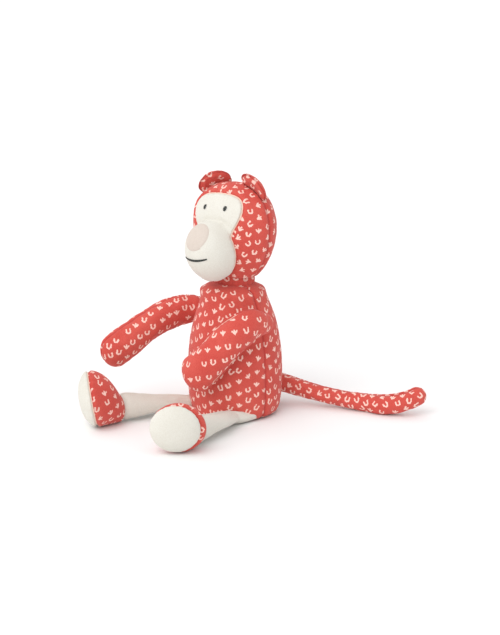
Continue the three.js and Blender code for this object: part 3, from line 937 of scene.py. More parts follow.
def mark_group() -> bpy.types.NodeTree:
    """One brush mark in its own square: an open loop, or three toes from a heel.

    Returns:
        The group, whose mask is 1 on the mark.
    """
    tree, n, given, out = shader_group(
        "brush mark",
        [
            ("Place", "NodeSocketVector", None),
            ("Kind", "NodeSocketFloat", 0.0),
            ("Grain", "NodeSocketVector", None),
        ],
        [("Mask", "NodeSocketFloat")],
    )
    own = n.math("MULTIPLY", given["Kind"], 57.0)
    shifted = n.vector("ADD", given["Place"], n.add("ShaderNodeCombineXYZ", {0: own, 1: own}).outputs[0])
    wobble = n.noise(shifted, 1.1, 1.0)
    moved = n.vector("SCALE", n.vector("SUBTRACT", wobble.outputs["Color"], (0.5, 0.5, 0.5)), 0.95)
    p = n.add("ShaderNodeSeparateXYZ", {0: n.vector("ADD", given["Place"], moved)}).outputs
    rise = n.math("MULTIPLY_ADD", n.math("FRACT", n.math("MULTIPLY", given["Kind"], 13.7)), 0.7, 0.35)
    below = n.math("MINIMUM", n.math("ADD", p[1], 0.15), 0.0)
    above = n.math("MAXIMUM", n.math("SUBTRACT", p[1], rise), 0.0)
    hook = n.math("SQRT", n.math("ADD", n.math("POWER", p[0], 2.0), n.math("POWER", below, 2.0)))
    ring = n.math("SUBTRACT", hook, 0.92)
    loop = n.math("SQRT", n.math("ADD", n.math("POWER", ring, 2.0), n.math("POWER", above, 2.0)))
    heel = n.math("ADD", p[1], 1.0)
    spread = n.math("ABSOLUTE", n.math("ARCTAN2", p[0], heel))
    fold = n.math("SUBTRACT", n.math("ABSOLUTE", n.math("SUBTRACT", spread, 0.36)), 0.36)
    reach = n.math("SQRT", n.math("ADD", n.math("POWER", p[0], 2.0), n.math("POWER", heel, 2.0)))
    beyond = n.math("MAXIMUM", n.math("SUBTRACT", reach, 1.75), 0.0)
    toe = n.math("ADD", n.math("MULTIPLY", reach, n.math("ABSOLUTE", n.math("SINE", fold))), beyond)
    three = n.math("GREATER_THAN", given["Kind"], 0.5)
    line = n.add("ShaderNodeMix", {0: three, 2: loop, 3: toe}, data_type="FLOAT").outputs[0]
    brush = n.noise(shifted, 2.3, 2.0).outputs["Fac"]
    width = n.math("MULTIPLY_ADD", brush, 0.42, 0.16)
    grain = n.math("MULTIPLY_ADD", n.noise(given["Grain"], 1900.0, 1.0).outputs["Fac"], 0.16, -0.08)
    edge = n.math("ADD", n.math("SUBTRACT", line, width), grain)
    n.put(n.ramp(edge, -0.09, 0.09, 1.0, 0.0), out.inputs["Mask"])
    return tree


@dataclass(frozen=True)
class Jersey:
    """A jersey cloth: its colours, its nap and, where it is printed, its marks."""

    name: str
    slot: str
    colour: tuple[float, float, float]
    deep: tuple[float, float, float]
    light: tuple[float, float, float]
    sheen: float = 0.35
    roughness: float = 0.86
    pitch: float = 0.0008
    bump: float = 0.35
    printed: bool = False

    def material(self, groups: dict[str, bpy.types.NodeTree]) -> bpy.types.Material:
        """Builds the cloth's material.

        Args:
            groups: The shared node groups by name.

        Returns:
            The material.
        """
        made = bpy.data.materials.new(self.name)
        made.use_nodes = True
        made.node_tree.nodes.clear()
        n = Nodes(made.node_tree)
        place = n.add("ShaderNodeTexCoord").outputs["Object"]
        cloth = n.add("ShaderNodeUVMap", uv_map="cloth").outputs[0]
        tone = n.add("ShaderNodeGroup", {}, node_tree=groups["tone"])
        n.put(place, tone.inputs["Place"])
        knit = n.add("ShaderNodeGroup", {}, node_tree=groups["knit"])
        n.put(cloth, knit.inputs["Cloth"])
        knit.inputs["Pitch"].default_value = self.pitch
        crease = n.add("ShaderNodeAttribute", attribute_name="crease").outputs["Fac"]
        shade = n.ramp(tone.outputs["Drift"], 0.3, 0.7)
        colour = n.mix(shade, (*self.colour, 1), (*self.light, 1))
        fleck = n.ramp(tone.outputs["Mottle"], 0.35, 0.75, 0.0, 0.22)
        colour = n.mix(fleck, colour, (*self.deep, 1))
        if self.printed:
            mark = n.add("ShaderNodeGroup", {}, node_tree=groups["mark"])
            n.put(n.add("ShaderNodeUVMap", uv_map="mark").outputs[0], mark.inputs["Place"])
            kind = n.add("ShaderNodeAttribute", attribute_name="mark_kind").outputs["Fac"]
            n.put(kind, mark.inputs["Kind"])
            n.put(place, mark.inputs["Grain"])
            ink = n.mix(fleck, (1.0, 0.70, 0.61, 1), (0.86, 0.42, 0.34, 1))
            colour = n.mix(n.math("MULTIPLY", mark.outputs["Mask"], 0.94), colour, ink)
        # Painted shade: the cloth darkens towards its deep colour by the painted-shade attribute, in seams,
        # in pucker hollows and over the whole neck roll.
        colour = n.mix(n.math("MULTIPLY", crease, 0.55, clamp=True), colour, (*self.deep, 1))
        loops = n.math("MULTIPLY_ADD", tone.outputs["Fuzz"], 0.5, knit.outputs["Height"])
        height = n.math("MULTIPLY_ADD", tone.outputs["Mottle"], 0.7, loops)
        bump = n.add("ShaderNodeBump", {"Height": height, "Strength": self.bump, "Distance": 0.0004})
        rough = n.ramp(tone.outputs["Mottle"], 0.2, 0.8, self.roughness - 0.06, self.roughness + 0.06)
        if self.printed:
            thrown = n.math("MULTIPLY", n.add("ShaderNodeLightPath").outputs["Is Diffuse Ray"], 0.5)
            colour = n.mix(thrown, colour, (0.60, 0.32, 0.29, 1))
        shader = n.add("ShaderNodeBsdfPrincipled", {"Base Color": colour, "Roughness": rough})
        shader.inputs["Sheen Weight"].default_value = self.sheen
        shader.inputs["Sheen Roughness"].default_value = 0.45
        shader.inputs["Sheen Tint"].default_value = (*[0.4 + 0.6 * c for c in self.light], 1)
        shader.inputs["Specular IOR Level"].default_value = 0.25
        n.put(bump.outputs[0], shader.inputs["Normal"])
        out = n.add("ShaderNodeOutputMaterial")
        n.put(shader.outputs[0], out.inputs["Surface"])
        return made


@dataclass(frozen=True)
class Thread:
    """Twisted sewing or embroidery thread."""

    name: str
    slot: str
    colour: tuple[float, float, float]
    glint: tuple[float, float, float]
    roughness: float = 0.5

    def material(self, groups: dict[str, bpy.types.NodeTree]) -> bpy.types.Material:
        """Builds the thread's material.

        Args:
            groups: The shared node groups by name.

        Returns:
            The material.
        """
        made = bpy.data.materials.new(self.name)
        made.use_nodes = True
        made.node_tree.nodes.clear()
        n = Nodes(made.node_tree)
        place = n.add("ShaderNodeTexCoord").outputs["Object"]
        tone = n.add("ShaderNodeGroup", {}, node_tree=groups["tone"])
        n.put(place, tone.inputs["Place"])
        tone.inputs["Fine"].default_value = 1800.0
        glinting = n.ramp(tone.outputs["Mottle"], 0.4, 0.8, 0.0, 0.5)
        colour = n.mix(glinting, (*self.colour, 1), (*self.glint, 1))
        bump = n.add("ShaderNodeBump", {"Height": tone.outputs["Fuzz"], "Strength": 0.3, "Distance": 0.0002})
        shader = n.add("ShaderNodeBsdfPrincipled", {"Base Color": colour})
        rough = n.ramp(tone.outputs["Mottle"], 0.2, 0.8, self.roughness, self.roughness + 0.15)
        n.put(rough, shader.inputs["Roughness"])
        shader.inputs["Sheen Weight"].default_value = 0.15
        shader.inputs["Anisotropic"].default_value = 0.4
        n.put(bump.outputs[0], shader.inputs["Normal"])
        out = n.add("ShaderNodeOutputMaterial")
        n.put(shader.outputs[0], out.inputs["Surface"])
        return made


class Wardrobe:
    """Every finish of the toy, made once."""

    def __init__(self) -> None:
        """Makes every material."""
        groups = {"knit": knit_group(), "tone": tone_group(), "mark": mark_group()}
        self.print = Jersey(
            "coral printed jersey", "print_jersey", (0.645, 0.088, 0.068), (0.38, 0.008, 0.010),
            (0.70, 0.112, 0.086), printed=True,
        )
        self.cream = Jersey(
            "cream jersey", "cream_jersey", (0.745, 0.722, 0.65), (0.56, 0.49, 0.39), (0.775, 0.755, 0.69),
            pitch=0.0009, bump=0.25,
        )
        self.nose = Jersey(
            "pale pink jersey", "nose_jersey", (0.66, 0.575, 0.505), (0.54, 0.42, 0.37), (0.69, 0.61, 0.545),
            pitch=0.0009, bump=0.25,
        )
        self.edge = Jersey(
            "peach seam edge", "cream_jersey", (0.88, 0.62, 0.50), (0.70, 0.36, 0.27), (0.92, 0.70, 0.58),
            pitch=0.0009, bump=0.2,
        )
        self.black = Thread(
            "black thread", "black_thread", (0.010, 0.013, 0.010), (0.06, 0.065, 0.055), 0.42
        )
        self.red = Thread("coral thread", "print_jersey", (0.52, 0.03, 0.03), (0.80, 0.16, 0.12), 0.6)
        finishes = (self.print, self.cream, self.nose, self.edge, self.black, self.red)
        self.made = {finish.name: finish.material(groups) for finish in finishes}

    def dress(self, piece: bpy.types.Object, *finishes: Jersey | Thread) -> None:
        """Gives a piece its materials.

        Args:
            piece: The piece.
            finishes: Its finishes, in the order of its material numbers.
        """
        piece.data.materials.clear()
        for finish in finishes:
            piece.data.materials.append(self.made[finish.name])


# ---- threads and rolled edges, made with geometry nodes ----


def geometry_tree(
    name: str, inputs: Sequence[tuple[str, str, object]]
) -> tuple[bpy.types.NodeTree, Nodes, bpy.types.NodeOutputs, bpy.types.Node]:
    """An empty geometry tree that takes and gives a mesh, with named inputs.

    Args:
        name: The tree's name.
        inputs: Each input's name, socket type and default value.

    Returns:
        The tree, its Nodes, its input node's sockets by name, and its output node.
    """
    tree = bpy.data.node_groups.new(name, "GeometryNodeTree")
    tree.interface.new_socket("Geometry", in_out="INPUT", socket_type="NodeSocketGeometry")
    tree.interface.new_socket("Geometry", in_out="OUTPUT", socket_type="NodeSocketGeometry")
    for label, kind, value in inputs:
        socket = tree.interface.new_socket(label, in_out="INPUT", socket_type=kind)
        if value is not None:
            socket.default_value = value
    nodes = Nodes(tree)
    return tree, nodes, nodes.add("NodeGroupInput").outputs, nodes.add("NodeGroupOutput")


def thread_tree() -> bpy.types.NodeTree:
    """Short threads laid along a line, each turned across it by a slant.

    Returns:
        The tree.
    """
    tree, n, given, out = geometry_tree(
        "laid threads",
        [
            ("Spacing", "NodeSocketFloat", 0.003),
            ("Length", "NodeSocketFloat", 0.002),
            ("Thickness", "NodeSocketFloat", 0.0004),
            ("Slant", "NodeSocketFloat", 0.0),
            ("Seed", "NodeSocketInt", 1),
            ("Thread", "NodeSocketMaterial", None),
        ],
    )
    line = n.add("GeometryNodeMeshToCurve", {0: given["Geometry"]}).outputs[0]
    even = n.add(
        "GeometryNodeResampleCurve", {"Curve": line, "Length": given["Spacing"]}, mode="LENGTH"
    ).outputs[0]
    normal = n.add("GeometryNodeInputNamedAttribute", {"Name": "out"}, data_type="FLOAT_VECTOR").outputs[0]
    reach = n.add("GeometryNodeInputNamedAttribute", {"Name": "reach"}, data_type="FLOAT").outputs[0]
    tangent = n.add("GeometryNodeInputTangent").outputs[0]
    aligned = "FunctionNodeAlignRotationToVector"
    upright = n.add(aligned, {"Vector": normal}, axis="Z", pivot_axis="AUTO").outputs[0]
    ahead = n.add(aligned, {"Rotation": upright, "Vector": tangent}, axis="X", pivot_axis="Z").outputs[0]
    jitter = n.add("FunctionNodeRandomValue", data_type="FLOAT")
    for key, value in (("Min", -0.12), ("Max", 0.12)):
        [s for s in jitter.inputs if s.name == key and s.type == "VALUE"][0].default_value = value
    n.put(given["Seed"], jitter.inputs["Seed"])
    wander = [s for s in jitter.outputs if s.type == "VALUE" and s.enabled][0]
    angle = n.add("ShaderNodeMath", {0: given["Slant"], 1: wander}, operation="ADD").outputs[0]
    about = n.add("FunctionNodeAxisAngleToRotation", {"Axis": (0, 0, 1), "Angle": angle}).outputs[0]
    turned = n.add("FunctionNodeRotateRotation", {0: ahead, 1: about}, rotation_space="LOCAL").outputs[0]
    bead = n.add("GeometryNodeMeshUVSphere", {"Segments": 8, "Rings": 6, "Radius": 0.5}).outputs[0]
    long = n.add("ShaderNodeMath", {0: given["Length"], 1: reach}, operation="MULTIPLY").outputs[0]
    size = n.add("ShaderNodeCombineXYZ", {0: long, 1: given["Thickness"], 2: given["Thickness"]}).outputs[0]
    laid = n.add(
        "GeometryNodeInstanceOnPoints",
        {"Points": even, "Instance": bead, "Rotation": turned, "Scale": size},
    )
    smooth = n.add("GeometryNodeRealizeInstances", {0: laid.outputs[0]}).outputs[0]
    shaded = n.add("GeometryNodeSetShadeSmooth", {0: smooth}).outputs[0]
    dressed = n.add("GeometryNodeSetMaterial", {0: shaded, "Material": given["Thread"]}).outputs[0]
    n.put(dressed, out.inputs[0])
    return tree


def roll_tree() -> bpy.types.NodeTree:
    """A slim rolled edge of cloth along a line.

    Returns:
        The tree.
    """
    tree, n, given, out = geometry_tree(
        "rolled edge", [("Radius", "NodeSocketFloat", 0.0006), ("Cloth", "NodeSocketMaterial", None)]
    )
    line = n.add("GeometryNodeMeshToCurve", {0: given["Geometry"]}).outputs[0]
    even = n.add("GeometryNodeResampleCurve", {"Curve": line, "Length": 0.0012}, mode="LENGTH").outputs[0]
    profile = n.add(
        "GeometryNodeCurvePrimitiveCircle", {"Resolution": 8, "Radius": given["Radius"]}
    ).outputs[0]
    rolled = n.add(
        "GeometryNodeCurveToMesh", {"Curve": even, "Profile Curve": profile, "Fill Caps": True}
    ).outputs[0]
    real = n.add("GeometryNodeRealizeInstances", {0: rolled}).outputs[0]
    shaded = n.add("GeometryNodeSetShadeSmooth", {0: real}).outputs[0]
    dressed = n.add("GeometryNodeSetMaterial", {0: shaded, "Material": given["Cloth"]}).outputs[0]
    n.put(dressed, out.inputs[0])
    return tree


class SewingBox:
    """Lays threads and rolled edges on finished covers."""

    def __init__(self, wardrobe: Wardrobe) -> None:
        """Makes the geometry trees, for threads and cloth from a wardrobe."""
        self.wardrobe = wardrobe
        self.threads = thread_tree()
        self.rolls = roll_tree()

    @staticmethod
    def _line(name: str, line: LaidLine) -> bpy.types.Object:
        """A line as a mesh of edges that carries the surface's normals.

        Args:
            name: The object's name.
            line: Its points, outward directions and shares of the length, and whether it is closed.

        Returns:
            The object.
        """
        points, normals, reach, closed = line
        count = len(points)
        edges = [(i, i + 1) for i in range(count - 1)] + ([(count - 1, 0)] if closed else [])
        data = bpy.data.meshes.new(name)
        data.from_pydata(points.tolist(), edges, [])
        outward = data.attributes.new("out", "FLOAT_VECTOR", "POINT")
        outward.data.foreach_set("vector", normals.astype(np.float32).ravel())
        share = data.attributes.new("reach", "FLOAT", "POINT")
        share.data.foreach_set("value", reach.astype(np.float32))
        made = bpy.data.objects.new(name, data)
        bpy.context.scene.collection.objects.link(made)
        return made

    @staticmethod
    def _grow(made: bpy.types.Object, tree: bpy.types.NodeTree, values: dict) -> bpy.types.Object:
        """Runs a tree on a line and keeps its mesh.

        Args:
            made: The line.
            tree: The geometry tree.
            values: The values of the tree's named inputs.

        Returns:
            The line's object, which now holds the tree's mesh.
        """
        mod = made.modifiers.new(tree.name, "NODES")
        mod.node_group = tree
        for item in tree.interface.items_tree:
            if item.item_type == "SOCKET" and item.in_out == "INPUT" and item.name in values:
                mod[item.identifier] = values[item.name]
        baked(made)
        return made

    def stitches(
        self,
        name: str,
        line: LaidLine,
        finish: Thread,
        spacing: float,
        length: float,
        thickness: float,
        slant: float = 0.0,
        seed: int = 1,
    ) -> bpy.types.Object:
        """Lays threads along a line on a surface.

        Args:
            name: The piece's name.
            line: Points, outward directions and shares of the length, then whether it is closed.
            finish: The thread.
            spacing: The distance from thread to thread, in millimetres.
            length: Each thread's length.
            thickness: Each thread's thickness.
            slant: Each thread's turn from the line, in degrees.
            seed: The seed of the threads' own small turns.

        Returns:
            The threads as one mesh.
        """
        made = self._line(name, line)
        values = {
            "Spacing": spacing * MM, "Length": length * MM, "Thickness": thickness * MM,
            "Slant": math.radians(slant), "Seed": seed, "Thread": self.wardrobe.made[finish.name],
        }
        made = self._grow(made, self.threads, values)
        return made

    def rolled(self, name: str, line: LaidLine, finish: Jersey, radius: float) -> bpy.types.Object:
        """Lays a rolled edge along a line on a surface.

        Args:
            name: The piece's name.
            line: Its points, outward directions and shares of the length, and whether it is closed.
            finish: The cloth.
            radius: The roll's radius, in millimetres.

        Returns:
            The rolled edge.
        """
        made = self._line(name, line)
        cloth = self.wardrobe.made[finish.name]
        made = self._grow(made, self.rolls, {"Radius": radius * MM, "Cloth": cloth})
        return made


def laid_on(
    surface: BVHTree, line: np.ndarray, closed: bool, step: float, lift: float = 0.0, ends: float = 0.0
) -> LaidLine:
    """A line moved on to a surface.

    Args:
        surface: The surface.
        line: The line's points, in metres.
        closed: Whether it closes on itself.
        step: The distance between its new points, in millimetres.
        lift: How far it stands off the surface, in millimetres.
        ends: The length left off each end of an open line, in millimetres.

    Returns:
        The points, the outward directions, a reach of one at each, and whether it is closed.
    """
    dots, run = sampled(line, closed, step * MM)
    if not closed and ends:
        keep = (run > ends * MM) & (run < run[-1] - ends * MM)
        dots = dots[keep]
    found = [surface.find_nearest(Vector(p)) for p in dots]
    spots = np.array([f[0] for f in found])
    normals = np.array([f[1] for f in found])
    for _ in range(2):
        if closed:
            normals = unit(normals + np.roll(normals, 1, 0) + np.roll(normals, -1, 0))
        else:
            normals[1:-1] = unit(normals[1:-1] + normals[:-2] + normals[2:])
    return spots + normals * lift * MM, normals, np.ones(len(spots)), closed


def parted(piece: bpy.types.Object, keep: int, name: str, apex: np.ndarray) -> bpy.types.Object:
    """One finish of a two-part cover as a closed solid of its own.

    Args:
        piece: The whole cover.
        keep: The material number of the faces to keep.
        name: The new piece's name.
        apex: The point inside, in millimetres, to which the open rim is closed.

    Returns:
        The new piece. Its rim is sharp, so that the outside keeps its own shading.
    """
    data = piece.data.copy()
    data.name = name
    mesh = bmesh.new()
    mesh.from_mesh(data)
    bmesh.ops.delete(mesh, geom=[f for f in mesh.faces if f.material_index != keep], context="FACES")
    rim = [e for e in mesh.edges if e.is_boundary]
    tip = mesh.verts.new(Vector(np.asarray(apex) * MM))
    for edge in rim:
        edge.smooth = False
        inner = mesh.faces.new((edge.verts[0], edge.verts[1], tip))
        inner.material_index = keep
    bmesh.ops.recalc_face_normals(mesh, faces=mesh.faces[:])
    for face in mesh.faces:
        face.material_index = 0
    mesh.to_mesh(data)
    mesh.free()
    made = bpy.data.objects.new(name, data)
    bpy.context.scene.collection.objects.link(made)
    return made


def discard(piece: bpy.types.Object) -> None:
    """Removes a piece that others were made from."""
    bpy.data.objects.remove(piece, do_unlink=True)


@dataclass(frozen=True)
class Stitch:
    """The small stitches down in a seam, in millimetres, and their slant in degrees."""

    spacing: float = 2.6
    length: float = 1.5
    thickness: float = 0.34
    slant: float = 58


@dataclass
class Workroom:
    """What every part of the toy is made with."""

    wardrobe: Wardrobe
    box: SewingBox
    filling: Filling = field(default_factory=Filling)
    prints: Print = field(default_factory=Print)
    stitch: Stitch = field(default_factory=Stitch)

    def sew_down(self, name: str, laid: LaidLine, body: str, seed: int) -> None:
        """Sews a row of small slanting stitches down in a seam.

        Args:
            name: The piece's name.
            laid: The seam's line on the finished cover.
            body: The body that the stitches ride on.
            seed: The seed of their small turns.
        """
        s = self.stitch
        thread = self.wardrobe.red
        made = self.box.stitches(name, laid, thread, s.spacing, s.length, s.thickness, s.slant, seed=seed)
        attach(made, body)

    def add_stitches(self, cover: Cover, name: str, body: str, ends: float) -> None:
        """Sews small stitches down in all of a cover's seams.

        Args:
            cover: The cover.
            name: The pieces' name, to which each seam's number is added.
            body: The body that the stitches ride on.
            ends: The length left bare at each end of an open seam, in millimetres.
        """
        surface = cover.surface()
        for k, (line, closed) in enumerate(cover.lines):
            laid = laid_on(surface, line, closed, 1.0, 0.02, ends)
            self.sew_down(f"{name}_{k + 1}", laid, body, seed=k + 1)


def report(piece: bpy.types.Object) -> None:
    """Notes a finished piece and its size in faces."""
    log.info("%s: %d faces", piece.name, len(piece.data.polygons))


def joint_place(name: str) -> tuple[np.ndarray, np.ndarray]:
    """A joint's pivot in millimetres, and its axis.

    Args:
        name: The joint's name.

    Returns:
        The pivot and the axis.
    """
    found = next(j for j in frame["joints"] if j["name"] == name)
    return np.array(found["pos_m"]) / MM, np.array(found["axis"], float)


# ---- the body ----


@dataclass
class Pear:
    """The pear-shaped body."""

    radius: float = 48.0
    seat: float = 33.0
    seat_seam: float = 37.0
    height: float = 133.5
    shoulder: float = 28.0
    neck: float = 19.0
    depth_share: float = 0.96
    chest: float = 9.5
    columns: int = 96

    def outline(self) -> np.ndarray:
        """Half widths and heights from the middle of the seat to the middle of the neck.

        Returns:
            One row for each knot.
        """
        r = self.radius
        return np.array([
            (0, 0), (self.seat * 0.5, 0), (self.seat_seam, 0), (r - 4, 4.5), (r - 1, 15), (r, 30), (r, 48),
            (r - 2.5, 76), (r - 6.5, 96), (self.shoulder + 7.5, 113), (self.shoulder + 1, self.height - 4.5),
            (self.neck, self.height + 0.4), (0, self.height + 1),
        ], float)

    def radius_at(self, height: float) -> float:
        """The half width at a height.

        Args:
            height: The height, in millimetres.

        Returns:
            The half width.
        """
        r = self.radius
        line = np.array([
            (self.seat, 0), (r - 6, 5), (r - 1.5, 15), (r, 30), (r, 48), (r - 2.5, 76), (r - 6.5, 96),
            (self.shoulder + 7.5, 113), (self.shoulder, self.height - 6),
        ])
        return float(np.interp(height, line[:, 1], line[:, 0]))

    def on(self, bearing: float, height: float, standoff: float) -> np.ndarray:
        """A point off the surface, at a bearing from straight ahead towards the left hand.

        Args:
            bearing: The bearing, in degrees.
            height: The height.
            standoff: The distance off the surface.

        Returns:
            The point.
        """
        r = self.radius_at(height) + standoff
        a = math.radians(bearing)
        return np.array([r * math.sin(a), -r * self.depth_share * math.cos(a), height])

    def build(self, room: Workroom) -> None:
        """Builds the body's cover with its two side seams and the seat's seam.

        Args:
            room: What the toy is made with.
        """
        line = Spine([(r, 0, z) for r, z in self.outline()])
        runs = np.linspace(0, line.length, 68)[1:-1]
        profile = np.array([line.at(d) for d in runs])
        bearing = 2 * math.pi * np.arange(self.columns) / self.columns
        chest = self.chest * np.clip((profile[:, 2] - 95) / 38, 0, 1) ** 2
        fullness = chest[:, None] * np.exp(np.cos(bearing) - 1)
        rings = np.stack([
            profile[:, None, 0] * np.sin(bearing),
            -profile[:, None, 0] * self.depth_share * np.cos(bearing) - fullness,
            np.maximum(profile[:, None, 2], 0) * np.ones_like(bearing),
        ], axis=2)
        seat_ring = int(np.argmin(np.abs(profile[:, 0] - self.seat_seam) + profile[:, 2]))
        top = self.height - 5
        shell = Shell(
            "body_cover", rings, np.zeros(3), np.array([0, -self.chest * 0.37, self.height + 1.2]),
            seam_columns=(self.columns // 4, 3 * self.columns // 4), seam_rings=(seat_ring,),
            held=lambda p: ((p[:, 2] > top) | (p[:, 2] < 0.5)).astype(float), swell=2.2,
        )
        cover = Cover(shell, room.filling)
        room.prints.lay(cover.piece, 24, 11, sway=34)
        room.wardrobe.dress(cover.piece, room.wardrobe.print)
        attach(cover.piece, "torso")
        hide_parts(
            "body_front_panel", "body_back_panel", "seat_panel", "bean_pouch", "body_filling"
        )
        room.add_stitches(cover, "body_side_stitches", "torso", 12)
        report(cover.piece)


# ---- the head ----


@dataclass
class Head:
    """The head with its cream face and muzzle, its hood, and the neck under it."""

    base: float = 137.5
    height: float = 96.5
    half_width: float = 47.0
    front_share: float = 0.73
    back_share: float = 0.765
    turn: float = 7.5
    tilt: float = 4.0
    face_half: float = 30.8
    face_top: float = 38.2
    muzzle_size: tuple[float, float, float] = (25.5, 27.0, 31.0)
    muzzle_forward: float = 35.5
    muzzle_drop: float = 16.0
    muzzle_tilt: float = 22.0
    bridge: float = 14.0
    columns: int = 120
    neck_radius: float = 19.5
    neck_columns: int = 96

    @property
    def middle(self) -> np.ndarray:
        """The middle of the head."""
        return np.array([0, 0, self.base + self.height / 2])

    def as_held(self, points: np.ndarray) -> np.ndarray:
        """Points turned and tilted from straight ahead to the way the head is held.

        Args:
            points: The points, one row each.

        Returns:
            The points in their new places.
        """
        return turn_about(turn_about(points, self.middle, "y", -self.tilt), self.middle, "z", self.turn)

    def skull(self, d: np.ndarray) -> np.ndarray:
        """The distance from the middle to the head's surface in each direction.

        Args:
            d: The directions, along the last axis.

        Returns:
            One distance for each direction.
        """
        w, h = self.half_width, self.height / 2
        knots = np.array([
            (0, -h), (19, -h + 0.5), (24.5, -h + 3.5), (0.66 * w, -0.8 * h), (0.83 * w, -0.55 * h),
            (0.95 * w, -0.25 * h), (w, 0.08 * h), (0.97 * w, 0.32 * h), (0.86 * w, 0.6 * h),
            (0.64 * w, 0.80 * h), (0.34 * w, 0.93 * h), (0, 0.965 * h),
        ])
        line = Spine([(r, 0, z) for r, z in knots]).line
        angles = np.arctan2(line[:, 2], line[:, 0])
        reaches = np.hypot(line[:, 0], line[:, 2])
        share = np.where(d[..., 1] < 0, self.front_share, self.back_share)
        round_it = np.hypot(d[..., 0], d[..., 1] / share)
        scaled = np.hypot(round_it, d[..., 2])
        flat = unit(np.array([0, -1.0, 0.42]))
        brow = np.clip((unit(d) @ flat - 0.6) / 0.4, 0, 1)
        return np.interp(np.arctan2(d[..., 2], round_it), angles, reaches) / scaled * (1 - 0.085 * brow)

    def snout(self, d: np.ndarray) -> np.ndarray:
        """The distance from the middle to the muzzle's far surface in each direction, or nothing.

        Args:
            d: The directions, along the last axis.

        Returns:
            One distance for each direction, or 0 where it misses the muzzle.
        """
        size = np.array(self.muzzle_size)
        centre = np.array([0, -self.muzzle_forward, -self.muzzle_drop])
        q = turn_about(-centre[None], np.zeros(3), "x", -self.muzzle_tilt) / size
        e = turn_about(d.reshape(-1, 3), np.zeros(3), "x", -self.muzzle_tilt).reshape(d.shape) / size
        a = (e * e).sum(-1)
        b = (e * q[0]).sum(-1)
        c = (q[0] ** 2).sum() - 1
        inside = b * b - a * c
        return np.where(inside > 0, (-b + np.sqrt(np.maximum(inside, 0))) / a, 0.0)

    def brow(self, d: np.ndarray) -> np.ndarray:
        """Whether each direction meets the skull within the face panel's outline.

        Args:
            d: The directions, along the last axis.

        Returns:
            True for each direction that does.
        """
        p = d * self.skull(d)[..., None]
        half, top = self.face_half, self.face_top
        knots = np.array([
            (0.55 * half, -30), (0.64 * half, -7), (0.73 * half, 3), (0.93 * half, 14), (half, 24),
            (0.87 * half, 0.87 * top), (0.52 * half, top - 0.3), (0, top + 1.2),
        ])
        line = Spine([(x, 0, z) for x, z in knots]).line
        wide = np.interp(p[..., 2], line[:, 2], line[:, 0], right=0)
        return (np.abs(p[..., 0]) < wide) & (p[..., 1] < 0) & (p[..., 2] > -30)

    def rings(self) -> tuple[np.ndarray, np.ndarray, int, int]:
        """The head's rings from the face's middle to the back, their finishes, and the two seams' rings.

        Returns:
            The rings, the finish of each row of faces, and the places of the two seams.
        """
        n = self.columns
        ahead = unit(np.array([0, -1.0, -0.12]))
        high = unit(UP - ahead * (UP @ ahead))
        wide = np.cross(high, ahead)
        psi = 2 * math.pi * np.arange(n) / n
        rim = np.cos(psi)[:, None] * high + np.sin(psi)[:, None] * wide
        beta = np.radians(np.arange(2, 118, 0.4))
        d = np.cos(beta)[None, :, None] * ahead + np.sin(beta)[None, :, None] * rim[:, None]
        cream = self.brow(d) | (self.snout(d) > self.skull(d))
        edge = np.array([beta[np.flatnonzero(row)[-1]] for row in cream])
        for _ in range(3):
            edge = 0.5 * edge + 0.25 * (np.roll(edge, 1) + np.roll(edge, -1))
        face_rim = np.cos(edge)[:, None] * ahead + np.sin(edge)[:, None] * rim
        side = unit(np.stack([np.sin(psi) * 1.0, np.zeros(n), np.cos(psi)], axis=1))
        back = np.array([0, 1.0, 0])
        made, rows = [], []
        share = np.linspace(0, 1, 31)[1:]
        for t in share:
            a = edge * t
            d = np.cos(a)[:, None] * ahead + np.sin(a)[:, None] * rim
            h, m = self.skull(d), self.snout(d)
            k = self.bridge * (1 - t**5) + 0.01
            mixed = np.clip(0.5 + 0.5 * (m - h) / k, 0, 1)
            r = h * (1 - mixed) + m * mixed + k * mixed * (1 - mixed)
            made.append(d * r[:, None])
            rows.append(Part.CREAM.value)
        face_ring = len(made) - 1
        for first, last, count in ((face_rim, side, 12), (side, np.tile(back, (n, 1)), 19)):
            for t in np.linspace(0, 1, count + 1)[1 : (None if last is side else -1)]:
                angle = np.arccos(np.clip((first * last).sum(1), -1, 1))[:, None]
                along = np.sin((1 - t) * angle) * first + np.sin(t * angle) * last
                d = unit(along / np.maximum(np.sin(angle), 1e-6))
                made.append(d * self.skull(d)[:, None])
                rows.append(Part.PRINT.value)
        rows.append(Part.PRINT.value)
        side_ring = face_ring + 12
        return np.array(made) + self.middle, np.array(rows), face_ring, side_ring

    def chart(self, corners: np.ndarray) -> tuple[np.ndarray, int]:
        """Where a face lies on its cloth, and which chart it is on: left, right or the face.

        Args:
            corners: The face's corners.

        Returns:
            The corners on the cloth, and the chart's number.
        """
        straight = turn_about(corners, self.middle, "z", -self.turn)
        p = turn_about(straight, self.middle, "y", self.tilt) - self.middle
        sign = 1 if p[:, 0].mean() >= 0 else -1
        flat = np.hypot(p[:, 1], p[:, 2])
        angle = np.arctan2(flat, sign * p[:, 0])
        spread = angle * 44 / np.maximum(flat, 1e-6)
        return np.stack([p[:, 1] * spread * sign, p[:, 2] * spread], axis=1), 0 if sign > 0 else 1

